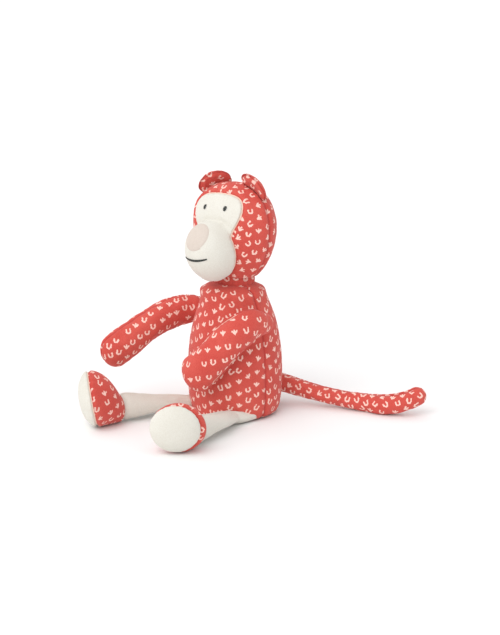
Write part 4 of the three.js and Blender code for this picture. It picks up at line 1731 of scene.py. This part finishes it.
    def build(self, room: Workroom) -> BVHTree:
        """Builds the face and the hood, with the face's rolled edge and the hood's stitches.

        Args:
            room: What it is made with.

        Returns:
            The finished surface of the face, for its embroidery.
        """
        rings, rows, face_ring, side_ring = self.rings()
        shape = rings.shape
        rings = self.as_held(rings.reshape(-1, 3)).reshape(shape)
        centre = self.as_held(self.middle[None])[0]
        start = rings[0].mean(0) + unit(rings[0].mean(0) - centre) * 0.15
        crown = self.middle + np.array([0, self.back_share * self.half_width, 0])
        end = self.as_held(crown[None])[0]
        low = self.base + 2.5
        shell = Shell(
            "head_cover", rings, start, end, seam_rings=(face_ring, side_ring), cloth_rows=rows,
            chart=self.chart, held=lambda p: (p[:, 2] < low).astype(float), swell=1.8, slack=0.015,
            seam_depth=1.0,
        )
        cover = Cover(shell, room.filling)
        room.prints.lay(cover.piece, 18, 23, sway=75, by_panel=False, toes=0.55, pitch=(10.8, 10.2))
        hood = parted(cover.piece, Part.PRINT.value, "hood_cover", centre)
        face = parted(cover.piece, Part.CREAM.value, "face_cover", centre)
        surface = cover.surface()
        room.wardrobe.dress(hood, room.wardrobe.print)
        room.wardrobe.dress(face, room.wardrobe.cream)
        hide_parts("hood_front_panel", "hood_back_panel", "head_filling")
        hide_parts("face_panel", "muzzle_cover", "muzzle_filling")
        for piece in (hood, face):
            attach(piece, "head")
            report(piece)
        rim, side = cover.lines
        laid = laid_on(surface, rim[0], True, 1.2, -0.1)
        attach(room.box.rolled("face_seam_edge", laid, room.wardrobe.edge, 0.62), "head")
        room.sew_down("hood_stitches", laid_on(surface, side[0], True, 1.0, 0.02), "head", seed=5)
        discard(cover.piece)
        return surface

    def build_neck(self, room: Workroom) -> None:
        """Builds the gathered roll of cloth between the head and the body.

        Args:
            room: What the toy is made with.
        """
        pivot, _ = joint_place("neck_turn")
        columns, radius = self.neck_columns, self.neck_radius
        angle = 2 * math.pi * np.arange(columns) / columns
        gather = 0.45 * np.sin(22 * angle) + 0.3 * ripple(angle * radius, 3.0, 3)
        rings = []
        for rise in np.linspace(-66, 66, 15):
            a = math.radians(rise)
            r = radius * math.cos(a) + gather * math.cos(a)
            z = np.full(columns, pivot[2] + radius * 0.9 * math.sin(a))
            x, y = pivot[0] + r * np.sin(angle), pivot[1] - r * np.cos(angle)
            rings.append(np.stack([x, y, z], axis=1))
        rings = np.array(rings)
        low, high = rings[0].mean(0) - 1.2 * UP, rings[-1].mean(0) + 1.2 * UP
        shell = Shell("neck_cover", rings, low, high, seam_depth=0)
        piece = shell.mesh()
        smoothed(piece)
        # An even painted shade over the whole neck roll.
        crease = piece.data.attributes.new("crease", "FLOAT", "POINT")
        crease.data.foreach_set("value", np.full(len(piece.data.vertices), 0.35, np.float32))
        shade_smooth(piece.data)
        room.prints.lay(piece, 0, 31, sway=40)
        room.wardrobe.dress(piece, room.wardrobe.print)
        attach(piece, "neck")
        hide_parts("neck_ball")
        report(piece)


@dataclass
class Face:
    """The embroidered eyes and mouth and the nose patch."""

    head: Head
    eye_spacing: float = 26.0
    eye_height: float = 25.0
    eye_half: tuple[float, float] = (2.3, 2.55)
    eye_tilt: float = 20.0
    mouth_spread: float = 34.0
    nose_half: tuple[float, float] = (13.5, 14.8)
    nose_rise: float = 43.0

    @staticmethod
    def _onto(surface: BVHTree, point: np.ndarray, towards: np.ndarray) -> tuple[np.ndarray, np.ndarray]:
        """The place on the face that a line from outside meets.

        Args:
            surface: The face's surface.
            point: A point outside, in millimetres.
            towards: The line's direction.

        Returns:
            The point on the face in metres, and the face's outward direction there.
        """
        spot, normal, _, _ = surface.ray_cast(Vector(point * MM), Vector(towards))
        if spot is None:
            spot, normal, _, _ = surface.find_nearest(Vector(point * MM))
        normal = np.array(normal)
        if normal @ towards > 0:
            normal = -normal
        return np.array(spot), normal

    def eye(self, room: Workroom, surface: BVHTree, side: Side) -> None:
        """Embroiders one eye: a padded oval of satin stitches.

        Args:
            room: What the toy is made with.
            surface: The face's surface.
            side: The eye's side.
        """
        name = f"eye_{side.word}"
        h = self.head
        front = h.middle + np.array([side.value * self.eye_spacing / 2, -90.0, self.eye_height])
        origin = h.as_held(front[None])[0]
        towards = h.as_held((front + np.array([0, 1.0, 0]))[None])[0] - origin
        spot, normal = self._onto(surface, origin, towards)
        high = unit(UP - normal * (UP @ normal))
        wide = np.cross(high, normal)
        a = math.radians(self.eye_tilt)
        high, wide = high * math.cos(a) + wide * math.sin(a), wide * math.cos(a) - high * math.sin(a)
        half_wide, half_high = self.eye_half
        steps = np.linspace(-0.97, 0.97, 15)
        dome = 0.55 * np.sqrt(1 - steps**2)
        points = spot + (steps[:, None] * half_high * high + dome[:, None] * normal) * MM
        reach = np.sqrt(1 - steps**2)
        line = (points, np.tile(normal, (len(points), 1)), reach, False)
        spacing = 2 * half_high * 0.97 / 14
        threads = room.box.stitches(
            f"{name}_embroidery", line, room.wardrobe.black, spacing, 2 * half_wide, 0.62, 90, seed=7
        )
        mesh = bmesh.new()
        mesh.from_mesh(threads.data)
        made = bmesh.ops.create_uvsphere(mesh, u_segments=20, v_segments=12, radius=1.0)["verts"]
        for v in made:
            c = v.co
            across, up = c.x * half_wide * 0.9, c.y * half_high * 0.92
            v.co = Vector(spot + (across * wide + up * high + c.z * 0.55 * normal) * MM)
        bmesh.ops.recalc_face_normals(mesh, faces=list({f for v in made for f in v.link_faces}))
        mesh.to_mesh(threads.data)
        mesh.free()
        shade_smooth(threads.data)
        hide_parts(name)
        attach(threads, "head")
        report(threads)

    def mouth(self, room: Workroom, surface: BVHTree) -> None:
        """Embroiders the mouth: a thin curved line of slanting satin stitches.

        Args:
            room: What the toy is made with.
            surface: The face's surface.
        """
        h = self.head
        centre = h.middle + np.array([0, -h.muzzle_forward, -h.muzzle_drop])
        points, normals = [], []
        for share in np.linspace(-1, 1, 61):
            bearing = math.radians(self.mouth_spread * share)
            rise = -0.175 + 0.065 * share**2
            d = np.array([
                math.sin(bearing) * math.cos(rise), -math.cos(bearing) * math.cos(rise), math.sin(rise),
            ]) * np.array(h.muzzle_size)
            inner, outer = h.as_held(np.array([centre, centre + d * 1.6]))
            spot, normal = self._onto(surface, outer, unit(inner - outer))
            points.append(spot + normal * 0.28 * MM)
            normals.append(normal)
        taper = 1 - 0.45 * np.abs(np.linspace(-1, 1, 61)) ** 3
        line = (np.array(points), np.array(normals), taper, False)
        made = room.box.stitches("mouth_line", line, room.wardrobe.black, 0.42, 2.9, 0.66, 62, seed=9)
        shade_smooth(made.data)
        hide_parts("mouth_embroidery")
        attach(made, "head")
        report(made)

    def nose(self, room: Workroom, surface: BVHTree) -> None:
        """Builds the nose patch: an oval of cloth laid on the top of the muzzle, its edge turned under.

        Args:
            room: What the toy is made with.
            surface: The face's surface.
        """
        h = self.head
        centre = h.middle + np.array([0, -h.muzzle_forward, -h.muzzle_drop])
        rise = math.radians(self.nose_rise)
        out = np.array([0, -math.cos(rise), math.sin(rise)])
        high = np.array([0, math.sin(rise), math.cos(rise)])
        wide = np.array([1.0, 0, 0])
        columns, spots = 72, []
        for ring in np.linspace(0, 1, 14)[1:]:
            for k in range(columns):
                a = 2 * math.pi * k / columns
                across, up = self.nose_half[0] * ring * math.sin(a), self.nose_half[1] * ring * math.cos(a)
                p = centre + wide * across + high * up + out * 60
                spots.append((p, ring))
        places = h.as_held(np.array([p for p, _ in spots]))
        origin = h.as_held(np.array([centre, centre - out]))
        towards = origin[1] - origin[0]
        upper, lower = [], []
        for place, (_, ring) in zip(places, spots):
            spot, normal = self._onto(surface, place, towards)
            lift = 0.62 * (1 - ring**10) - 0.12 * ring**10 + 0.25 * math.exp(-(((ring - 0.9) / 0.06) ** 2))
            upper.append(spot / MM + normal * lift)
            lower.append(spot / MM - normal * 0.7)
        tops = np.array(upper).reshape(13, columns, 3)
        unders = np.array(lower).reshape(13, columns, 3)[::-1]
        rings = np.concatenate([tops, unders])
        shell = Shell("nose_cover", rings, tops[0].mean(0), unders[-1].mean(0), seam_depth=0)
        piece = shell.mesh()
        smoothed(piece)
        data = piece.data
        data.attributes.new("crease", "FLOAT", "POINT")
        shade_smooth(data)
        room.wardrobe.dress(piece, room.wardrobe.nose)
        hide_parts("nose_patch")
        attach(piece, "head")
        report(piece)

    def build(self, room: Workroom, surface: BVHTree) -> None:
        """Puts the features on the face.

        Args:
            room: What the toy is made with.
            surface: The face's surface.
        """
        for side in Side:
            self.eye(room, surface, side)
        self.mouth(room, surface)
        self.nose(room, surface)


@dataclass
class Ear:
    """A cupped ear, sewn into the hood's side seam."""

    side: Side
    head: Head
    round_it: float
    lean: float
    twist: float
    half_width: float = 17.0
    half_height: float = 14.0
    half_thickness: float = 4.4
    cup: float = 3.4
    standoff: float = 6.0

    def build(self, room: Workroom) -> None:
        """Builds the ear, its cloth held still round its hinge while it is stuffed.

        Args:
            room: What the toy is made with.
        """
        h = self.head
        a = math.radians(self.round_it)
        seat = h.middle + np.array([h.half_width * math.sin(a), 0, h.height / 2 * math.cos(a)])
        across = np.array([math.cos(a), 0, -math.sin(a)])
        out = np.array([math.sin(a), 0, math.cos(a)])
        across = self._spun(across, out, self.twist)
        out = self._spun(out, across, self.lean)
        behind = np.cross(out, across)
        middle = seat + out * self.standoff
        columns = 56
        angle = 2 * math.pi * np.arange(columns) / columns
        rings = []
        for turn in np.linspace(0, 180, 30)[1:-1]:
            b = math.radians(turn)
            size = math.sin(b) ** 0.75
            depth = -self.half_thickness * math.cos(b) + self.cup * (1 - size**2)
            fold = -2.2 * np.exp(-(((np.cos(angle) * size + 0.72) / 0.3) ** 2)) * (math.cos(b) > 0)
            x, z = self.half_width * size * np.sin(angle), self.half_height * size * np.cos(angle)
            ring = middle + x[:, None] * across + z[:, None] * out + (depth - fold)[:, None] * behind
            rings.append(ring)
        rings = np.array(rings)
        shape = rings.shape
        rings = h.as_held(rings.reshape(-1, 3)).reshape(shape)
        rim = int(np.argmin(np.abs(np.linspace(0, 180, 30)[1:-1] - 90)))
        name = f"ear_{self.side.word}"
        pivot, _ = joint_place(f"{name}_flop")
        shell = Shell(
            f"{name}_cover", rings, rings[0].mean(0), rings[-1].mean(0), seam_rings=(rim,), swell=1.2,
            held=lambda p: (np.linalg.norm(p - pivot, axis=1) < 9).astype(float), seam_depth=0.8,
            chart=self._chart(h.as_held(np.array([middle, middle + across, middle + out]))),
        )
        fine = Seam(groove=1.1, pucker=0.25, reach=4.0, pitch=2.2)
        cover = Cover(shell, Filling(pressure=2.0, drawn_in=1.0), fine)
        room.prints.lay(cover.piece, 10, 40 + self.side.value, sway=60, toes=0.5, by_panel=False)
        room.wardrobe.dress(cover.piece, room.wardrobe.print)
        held_out = h.as_held(np.array([middle, middle + out]))
        room.add_stitches(cover, f"{name}_stitches", name, 0)
        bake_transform(cover.piece)
        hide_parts(f"{name}_front", f"{name}_back", f"{name}_filling")
        report(cover.piece)

    @staticmethod
    def _spun(v: np.ndarray, axis: np.ndarray, degrees: float) -> np.ndarray:
        """A vector turned about another.

        Args:
            v: The vector.
            axis: The axis, of length one.
            degrees: How far it turns.

        Returns:
            The turned vector.
        """
        a = math.radians(degrees)
        return v * math.cos(a) + np.cross(axis, v) * math.sin(a) + axis * (axis @ v) * (1 - math.cos(a))

    @staticmethod
    def _chart(basis: np.ndarray) -> Callable[[np.ndarray], tuple[np.ndarray, int]]:
        """The ear's flat cloth, seen from the front.

        Args:
            basis: The ear's middle, and points one millimetre across and outwards from it.

        Returns:
            The function that places a face on the cloth.
        """
        middle, x, z = basis[0], basis[1] - basis[0], basis[2] - basis[0]
        behind = np.cross(z, x)

        def place(corners: np.ndarray) -> tuple[np.ndarray, int]:
            """A face's place, and which side of the ear it is on.

            Args:
                corners: The face's corners.

            Returns:
                The corners on the cloth, and 1 behind the ear or 0 before it.
            """
            p = corners - middle
            return np.stack([p @ x, p @ z], axis=1), int((p @ behind).mean() > 1.5)

        return place


# ---- limbs ----


@dataclass
class Limb:
    """A stuffed tube along a spine, with a rolled root and a round end."""

    path: list[np.ndarray]
    width: list[float]
    thickness: list[float]
    flat: Callable[[np.ndarray], np.ndarray]
    root: float
    columns: int = 44
    step: float = 3.0
    bluntness: float = 1.0

    def shell(self, name: str, **facts: object) -> Shell:
        """The limb as rings of points.

        Args:
            name: The cover's name.
            facts: The shell's other fields.

        Returns:
            The shell, with its columns from the limb's upper edge round its outer side.
        """
        spine = Spine(self.path)
        end = min(self.width[-1], self.thickness[-1]) * self.bluntness
        cap = np.linspace(0, math.pi / 2, 8)
        runs = np.concatenate([
            -self.root * np.cos(cap[1:]),
            np.linspace(0, spine.length - end, max(4, int((spine.length - end) / self.step)))[1:],
            spine.length - end * (1 - np.sin(cap[1:-1])),
        ])
        angle = 2 * math.pi * np.arange(self.columns) / self.columns
        rings = []
        for d in runs:
            share = np.clip(d / spine.length, 0, 1) * (len(self.width) - 1)
            grid = np.arange(len(self.width))
            centre, tangent = spine.at(d), spine.tangent(d)
            thin = self.flat(centre)
            thin = unit(thin - tangent * (thin @ tangent))
            wide = np.cross(tangent, thin)
            to_end = min(1.0, max(0.0, (spine.length - d) / end))
            to_root = min(1.0, max(0.0, (d + self.root) / self.root))
            close = math.sqrt(max(0.0, 1 - (1 - to_end) ** 2)) * math.sqrt(max(0.0, 1 - (1 - to_root) ** 2))
            w, t = (close * self._eased(share, grid, v) for v in (self.width, self.thickness))
            rings.append(centre + np.cos(angle)[:, None] * w * wide + np.sin(angle)[:, None] * t * thin)
        start = spine.at(-self.root)
        return Shell(name, np.array(rings), start, spine.at(spine.length), **facts)

    @staticmethod
    def _eased(share: float, grid: np.ndarray, values: list[float]) -> float:
        """A value read smoothly from even steps.

        Args:
            share: The place, in steps.
            grid: The places of the values.
            values: The values.

        Returns:
            The value.
        """
        places = [np.clip(share + k, 0, grid[-1]) for k in (-0.3, -0.15, 0, 0.15, 0.3)]
        return float(np.mean([np.interp(x, grid, values) for x in places]))


@dataclass
class Arm:
    """An arm that swings at its rolled root and lifts from it."""

    side: Side
    pear: Pear
    root: float = 12.0
    shoulder_height: float = 99.0
    standoff: float = 4.0

    def build(self, room: Workroom) -> None:
        """Builds the arm's cover and bends it at the shoulder.

        Args:
            room: What the toy is made with.
        """
        on = self.pear.on
        shoulder = on(87 * self.side.value, self.shoulder_height, self.standoff)
        if self.side is Side.LEFT:
            limb = Limb(
                [
                    shoulder, on(62, 101, 15), on(44, 90, 16.5), on(28, 71, 17), on(13, 53.5, 18),
                    on(3, 44, 18.5),
                ],
                [self.root, 17, 18, 18, 19, 19], [self.root, 12.5, 13.5, 14.5, 15, 15],
                lambda p: unit(np.array([p[0], p[1], 0])), self.root,
            )
            rows, turn, toes = (9.2, 14.0), -52.0, 0.25
        else:
            steps = [(0, 0, -0.5), (-9, -26, -2), (-17, -52, -11), (-26, -79, -28), (-32, -103, -43.5)]
            limb = Limb(
                [shoulder + np.array(s, float) for s in steps], [self.root, 16.5, 16.8, 18.5, 17.5],
                [self.root, 13, 14, 15, 14], lambda p: np.array([1.0, 0, 0]), self.root,
            )
            rows, turn, toes = (8.8, 12.0), 90.0, 0.25
        name = f"arm_{self.side.word}"
        half = limb.columns // 2
        shell = limb.shell(
            f"{name}_cover", seam_columns=(0, half), seam_depth=0.75,
            held=lambda p: (np.linalg.norm(p - shoulder, axis=1) < self.root + 3).astype(float),
        )
        cover = Cover(shell, room.filling)
        room.prints.lay(cover.piece, turn, 50 + self.side.value, sway=16, pitch=rows, toes=toes)
        room.wardrobe.dress(cover.piece, room.wardrobe.print)
        room.add_stitches(cover, f"{name}_stitches", name, 24)
        # The near arm's seams get peach rolled edges: partly the seam's own edge, partly a painted highlight
        # where light catches the fold.
        if self.side is Side.LEFT:
            surface = cover.surface()
            for k, (line, closed) in enumerate(cover.lines):
                laid = laid_on(surface, line, closed, 1.2, 0.12, 26)
                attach(room.box.rolled(f"{name}_edge_{k + 1}", laid, room.wardrobe.edge, 0.34), name)
        root = f"shoulder_{self.side.word}"
        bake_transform(cover.piece)
        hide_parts(f"{name}_outer", f"{name}_inner", f"{name}_filling", f"{root}_wad")
        report(cover.piece)


@dataclass
class Leg:
    """A cream leg that comes out under the body's hem, with a printed foot and a cream sole."""

    side: Side
    pear: Pear
    bearing: float
    foot_radius: float
    hip_bearing: float = 44.0
    hip_height: float = 11.0
    radius: float = 14.0
    length: float = 75.0
    foot_length: float = 32.0
    crown: float = 13.0
    sole_turn: float = 27.0
    sole_lean: float = 8.5
    sole_inset: float = 0.93

    def build(self, room: Workroom) -> None:
        """Builds the leg, the foot and the sole.

        Args:
            room: What the toy is made with.
        """
        sign = self.side.value
        hip = self.pear.on(self.hip_bearing * sign, self.hip_height, 4.0)
        turn = math.radians(self.bearing)
        ahead = np.array([math.sin(turn), -math.cos(turn), 0])
        across = np.array([math.cos(turn), math.sin(turn), 0])
        name = f"leg_{self.side.word}"

        def at(distance: float, height: float) -> np.ndarray:
            """A point along the leg.

            Args:
                distance: The distance from the hip.
                height: The height above the floor.

            Returns:
                The point.
            """
            return np.array([hip[0], hip[1], height]) + ahead * distance

        path = [
            np.array([sign * 36.0, -13.0, 6.0]), np.array([sign * 36.0, -24.0, 6.8]),
            np.array([hip[0], hip[1], 8.0]), at(30, self.radius - 2.0),
            at(self.length + 8, self.radius + 1.8),
        ]
        widths, depths = [8.0, 14.0, 16.5, 14.8, 14.6], [5.0, 6.6, 8.2, 12.2, 15.2]
        limb = Limb(path, widths, depths, lambda p: UP, 8.0, columns=40)
        quarter = limb.columns // 4
        hidden = math.hypot(*hip[:2]) - 6
        shell = limb.shell(
            f"{name}_cover", seam_columns=(quarter, 3 * quarter), seam_depth=0.25, swell=1.3,
            held=lambda p: (np.hypot(p[:, 0], p[:, 1]) < hidden).astype(float),
        )
        cover = Cover(shell, room.filling, Seam(groove=1.1, pucker=0.12, reach=4.0))
        room.wardrobe.dress(cover.piece, room.wardrobe.cream)
        root = f"hip_{self.side.word}"
        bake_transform(cover.piece)
        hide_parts(f"{name}_outer", f"{name}_inner", f"{name}_filling", f"{root}_wad")
        report(cover.piece)
        self._foot(room, at, across, ahead)

    def _foot(self, room: Workroom, at: Callable, across: np.ndarray, ahead: np.ndarray) -> None:
        """Builds the flared foot and its crowned sole, which faces outwards from the leg.

        Args:
            room: What the toy is made with.
            at: The point at a distance along the leg and a height.
            across: The direction across the leg.
            ahead: The direction along it.
        """
        big, rim = self.foot_radius, self.foot_radius * self.sole_inset
        run, size = [], []
        for a in np.linspace(0, 90, 6)[1:]:
            run.append(3 * (1 - math.cos(math.radians(a))))
            size.append(14.9 * math.sin(math.radians(a)) + 0.1)
        for share in np.linspace(0, 1, 14)[1:]:
            run.append(3 + (self.foot_length - 3) * share)
            flare = share + 0.36 * math.sin(math.pi * share) * (1 - 0.4 * share)
            drawn_in = (big - rim) * max(0.0, (share - 0.72) / 0.28) ** 2
            size.append(15 + (big - 15) * min(1.0, flare) - drawn_in)
        sole_ring = len(run) - 1
        for a in np.linspace(0, 90, 14)[1:-1]:
            run.append(self.foot_length + self.crown * math.sin(math.radians(a)))
            size.append(rim * math.cos(math.radians(a)) ** 0.85)
        columns = 72
        angle = 2 * math.pi * np.arange(columns) / columns
        sign = self.side.value
        level = turn_about(ahead[None], np.zeros(3), "z", sign * self.sole_turn)[0]
        fall = math.radians(self.sole_lean)
        sole_ahead = level * math.cos(fall) - UP * math.sin(fall)
        rings = []
        for k, (d, r) in enumerate(zip(run, size)):
            turned = sign * self.sole_turn * min(1.0, max(0.0, d / self.foot_length))
            wide = turn_about(across[None], np.zeros(3), "z", turned)[0]
            rise = max(r, 15.2) if k <= sole_ring else big
            ring = at(self.length + min(d, self.foot_length), rise + 0.4)
            ring = ring + sole_ahead * max(0.0, d - self.foot_length)
            if k == sole_ring:
                ring[2] = big + 0.4
            lean = math.radians(self.sole_lean) * min(1.0, max(0.0, d / self.foot_length)) ** 2
            high = UP * math.cos(lean) + level * math.sin(lean)
            rings.append(ring + r * (np.cos(angle)[:, None] * -high + np.sin(angle)[:, None] * wide))
        rows = np.array([Part.PRINT.value] * (sole_ring + 1) + [Part.CREAM.value] * (len(run) - sole_ring))
        start = at(self.length, 15.6)
        end = at(self.length + self.foot_length, big + 0.4) + sole_ahead * self.crown
        name = f"foot_{self.side.word}"
        shell = Shell(
            f"{name}_cover", np.array(rings), start, end, seam_columns=(0,), seam_rings=(sole_ring,),
            cloth_rows=rows, seam_reach=(3, sole_ring), swell=1.6, seam_depth=1.0,
        )
        cover = Cover(shell, room.filling)
        seed = 60 + self.side.value
        room.prints.lay(cover.piece, 12, seed, sway=55, by_panel=False, toes=0.5, pitch=(10.0, 10.0))
        apex = at(self.length + self.foot_length - 6, big)
        upper = parted(cover.piece, Part.PRINT.value, f"{name}_upper_cover", apex)
        sole = parted(cover.piece, Part.CREAM.value, f"{name}_sole_cover", apex)
        room.wardrobe.dress(upper, room.wardrobe.print)
        room.wardrobe.dress(sole, room.wardrobe.cream)
        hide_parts(f"{name}_upper", f"{name}_filling")
        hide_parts(f"{name}_sole")
        body = f"leg_{self.side.word}"
        for piece in (upper, sole):
            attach(piece, body)
            report(piece)
        line, closed = cover.lines[-1]
        laid = laid_on(cover.surface(), line, closed, 1.2, -0.1)
        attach(room.box.rolled(f"{name}_seam_edge", laid, room.wardrobe.edge, 0.6), body)
        discard(cover.piece)


@dataclass
class Tail:
    """The long tail, which swings and lifts at its root and bends half way."""

    pear: Pear
    root: float = 9.5
    radius: float = 8.5
    tip: float = 10.0

    def build(self, room: Workroom) -> None:
        """Builds the tail as one cover, then parts it where it rides on its base.

        Args:
            room: What the toy is made with.
        """
        pivot, _ = joint_place("tail_swing")
        bend, _ = joint_place("tail_bend")
        y = pivot[1]
        path = [
            pivot, np.array([22, y + 14, 18.0]), np.array([55, y + 32, 11.8]), bend,
            np.array([111, y + 58, self.tip + 0.3]), np.array([126, y + 70, 15.5]),
            np.array([135.5, y + 85, 23.5]),
        ]
        slim, tip_radius = self.radius, self.tip
        girth = [self.root, slim + 0.8, slim, slim + 0.3, tip_radius, tip_radius, tip_radius - 1]
        limb = Limb(path, girth, list(girth), lambda p: UP, self.root, columns=32, step=2.8)
        quarter = limb.columns // 4
        shell = limb.shell(
            "tail_cover", seam_columns=(quarter, 3 * quarter), seam_depth=0.5, swell=1.2,
            held=lambda p: (np.linalg.norm(p - pivot, axis=1) < self.root + 3).astype(float),
        )
        middles = shell.rings.mean(axis=1)
        place = (path[2] + bend) / 2
        ring = int(np.argmin(np.linalg.norm(middles - place, axis=1)))
        shell.cloth_rows = np.array([0 if r <= ring else 1 for r in range(len(middles) + 1)])
        cover = Cover(shell, Filling(pressure=2.0, drawn_in=1.0))
        room.prints.lay(cover.piece, 90, 71, sway=70, pitch=(10.5, 9.0))
        base = parted(cover.piece, 0, "tail_base_cover", middles[ring])
        tip = parted(cover.piece, 1, "tail_tip_cover", middles[ring])
        for piece in (base, tip):
            room.wardrobe.dress(piece, room.wardrobe.print)
            report(piece)
        discard(cover.piece)
        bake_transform(base)
        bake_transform(tip)
        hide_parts("tail_base_left", "tail_base_right", "tail_base_filling", "tail_root_wad")
        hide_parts("tail_tip_left", "tail_tip_right", "tail_tip_filling")


# ---- the studio ----


@dataclass(frozen=True)
class Lamp:
    """A wide soft light, with its spread, its bearing from straight ahead and its rise in degrees."""

    name: str
    strength: float
    spread: float
    bearing: float
    rise: float


@dataclass
class Studio:
    """A plain pale floor, soft light and the camera."""

    azimuth: float = 49.0
    elevation: float = 15.0
    distance: float = 2200.0
    target: tuple[float, float, float] = (-8.2, 27.0, 89.4)
    frame_long_side: int = 635
    pixels_per_mm: float = 1.0
    sensor: float = 36.0
    sky: float = 0.72
    paper: float = 0.95
    floor_half: float = 30.0
    lamps: tuple[Lamp, ...] = (Lamp("key", 1.3, 50, 18, 42), Lamp("rim", 0.6, 90, -75, 60))

    def camera(self) -> None:
        """Places the camera, which looks at the toy from its left front."""
        data = bpy.data.cameras.new("camera")
        made = bpy.data.objects.new("camera", data)
        bpy.context.scene.collection.objects.link(made)
        a, e = math.radians(self.azimuth), math.radians(self.elevation)
        back = Vector((math.sin(a) * math.cos(e), -math.cos(a) * math.cos(e), math.sin(e)))
        made.location = (Vector(self.target) + back * self.distance) * MM
        made.rotation_mode = "QUATERNION"
        made.rotation_quaternion = (-back).to_track_quat("-Z", "Y")
        data.sensor_width = self.sensor
        data.lens = self.distance * self.sensor * self.pixels_per_mm / self.frame_long_side
        data.clip_start, data.clip_end = 0.05, 60.0
        bpy.context.scene.camera = made

    def light(self) -> None:
        """Lights the toy with a pale sky and the lamps."""
        world = bpy.data.worlds.new("studio")
        world.use_nodes = True
        sky = world.node_tree.nodes["Background"]
        sky.inputs["Color"].default_value = (1.0, 1.0, 1.0, 1)
        sky.inputs["Strength"].default_value = self.sky
        bpy.context.scene.world = world
        for lamp in self.lamps:
            data = bpy.data.lights.new(lamp.name, "SUN")
            data.energy = lamp.strength
            data.angle = math.radians(lamp.spread)
            made = bpy.data.objects.new(lamp.name, data)
            bpy.context.scene.collection.objects.link(made)
            a, e = math.radians(lamp.bearing), math.radians(lamp.rise)
            towards = Vector((math.sin(a) * math.cos(e), -math.cos(a) * math.cos(e), math.sin(e)))
            made.rotation_mode = "QUATERNION"
            made.rotation_quaternion = (-towards).to_track_quat("-Z", "Y")

    def floor(self) -> None:
        """Lays the floor."""
        data = bpy.data.meshes.new("floor")
        size = self.floor_half
        corners = [(-size, -size, 0), (size, -size, 0), (size, size, 0), (-size, size, 0)]
        data.from_pydata(corners, [], [(0, 1, 2, 3)])
        made = bpy.data.objects.new("floor", data)
        bpy.context.scene.collection.objects.link(made)
        paper = bpy.data.materials.new("pale paper")
        paper.use_nodes = True
        shader = paper.node_tree.nodes["Principled BSDF"]
        shader.inputs["Base Color"].default_value = (self.paper, self.paper, self.paper, 1)
        shader.inputs["Roughness"].default_value = 0.95
        shader.inputs["Specular IOR Level"].default_value = 0.1
        data.materials.append(paper)

    def build(self) -> None:
        """Sets up the studio."""
        self.camera()
        self.light()
        self.floor()
        bpy.context.scene.view_settings.view_transform = "Standard"


def main() -> None:
    """Builds the toy, part by part."""
    logging.basicConfig(level=logging.INFO, format="%(name)s %(message)s")
    Studio().build()
    wardrobe = Wardrobe()
    room = Workroom(wardrobe, SewingBox(wardrobe))
    pear, head = Pear(), Head()
    pear.build(room)
    surface = head.build(room)
    head.build_neck(room)
    Face(head).build(room, surface)
    Ear(Side.LEFT, head, 35, 28, 4, standoff=5.0).build(room)
    Ear(Side.RIGHT, head, -27.5, 50, 30, standoff=2.0).build(room)
    for side in Side:
        Arm(side, pear).build(room)
    Leg(Side.LEFT, pear, 20, 26.0).build(room)
    Leg(Side.RIGHT, pear, -9, 28.2, crown=15.0, sole_inset=0.97).build(room)
    Tail(pear).build(room)


if __name__ == "__main__":
    main()
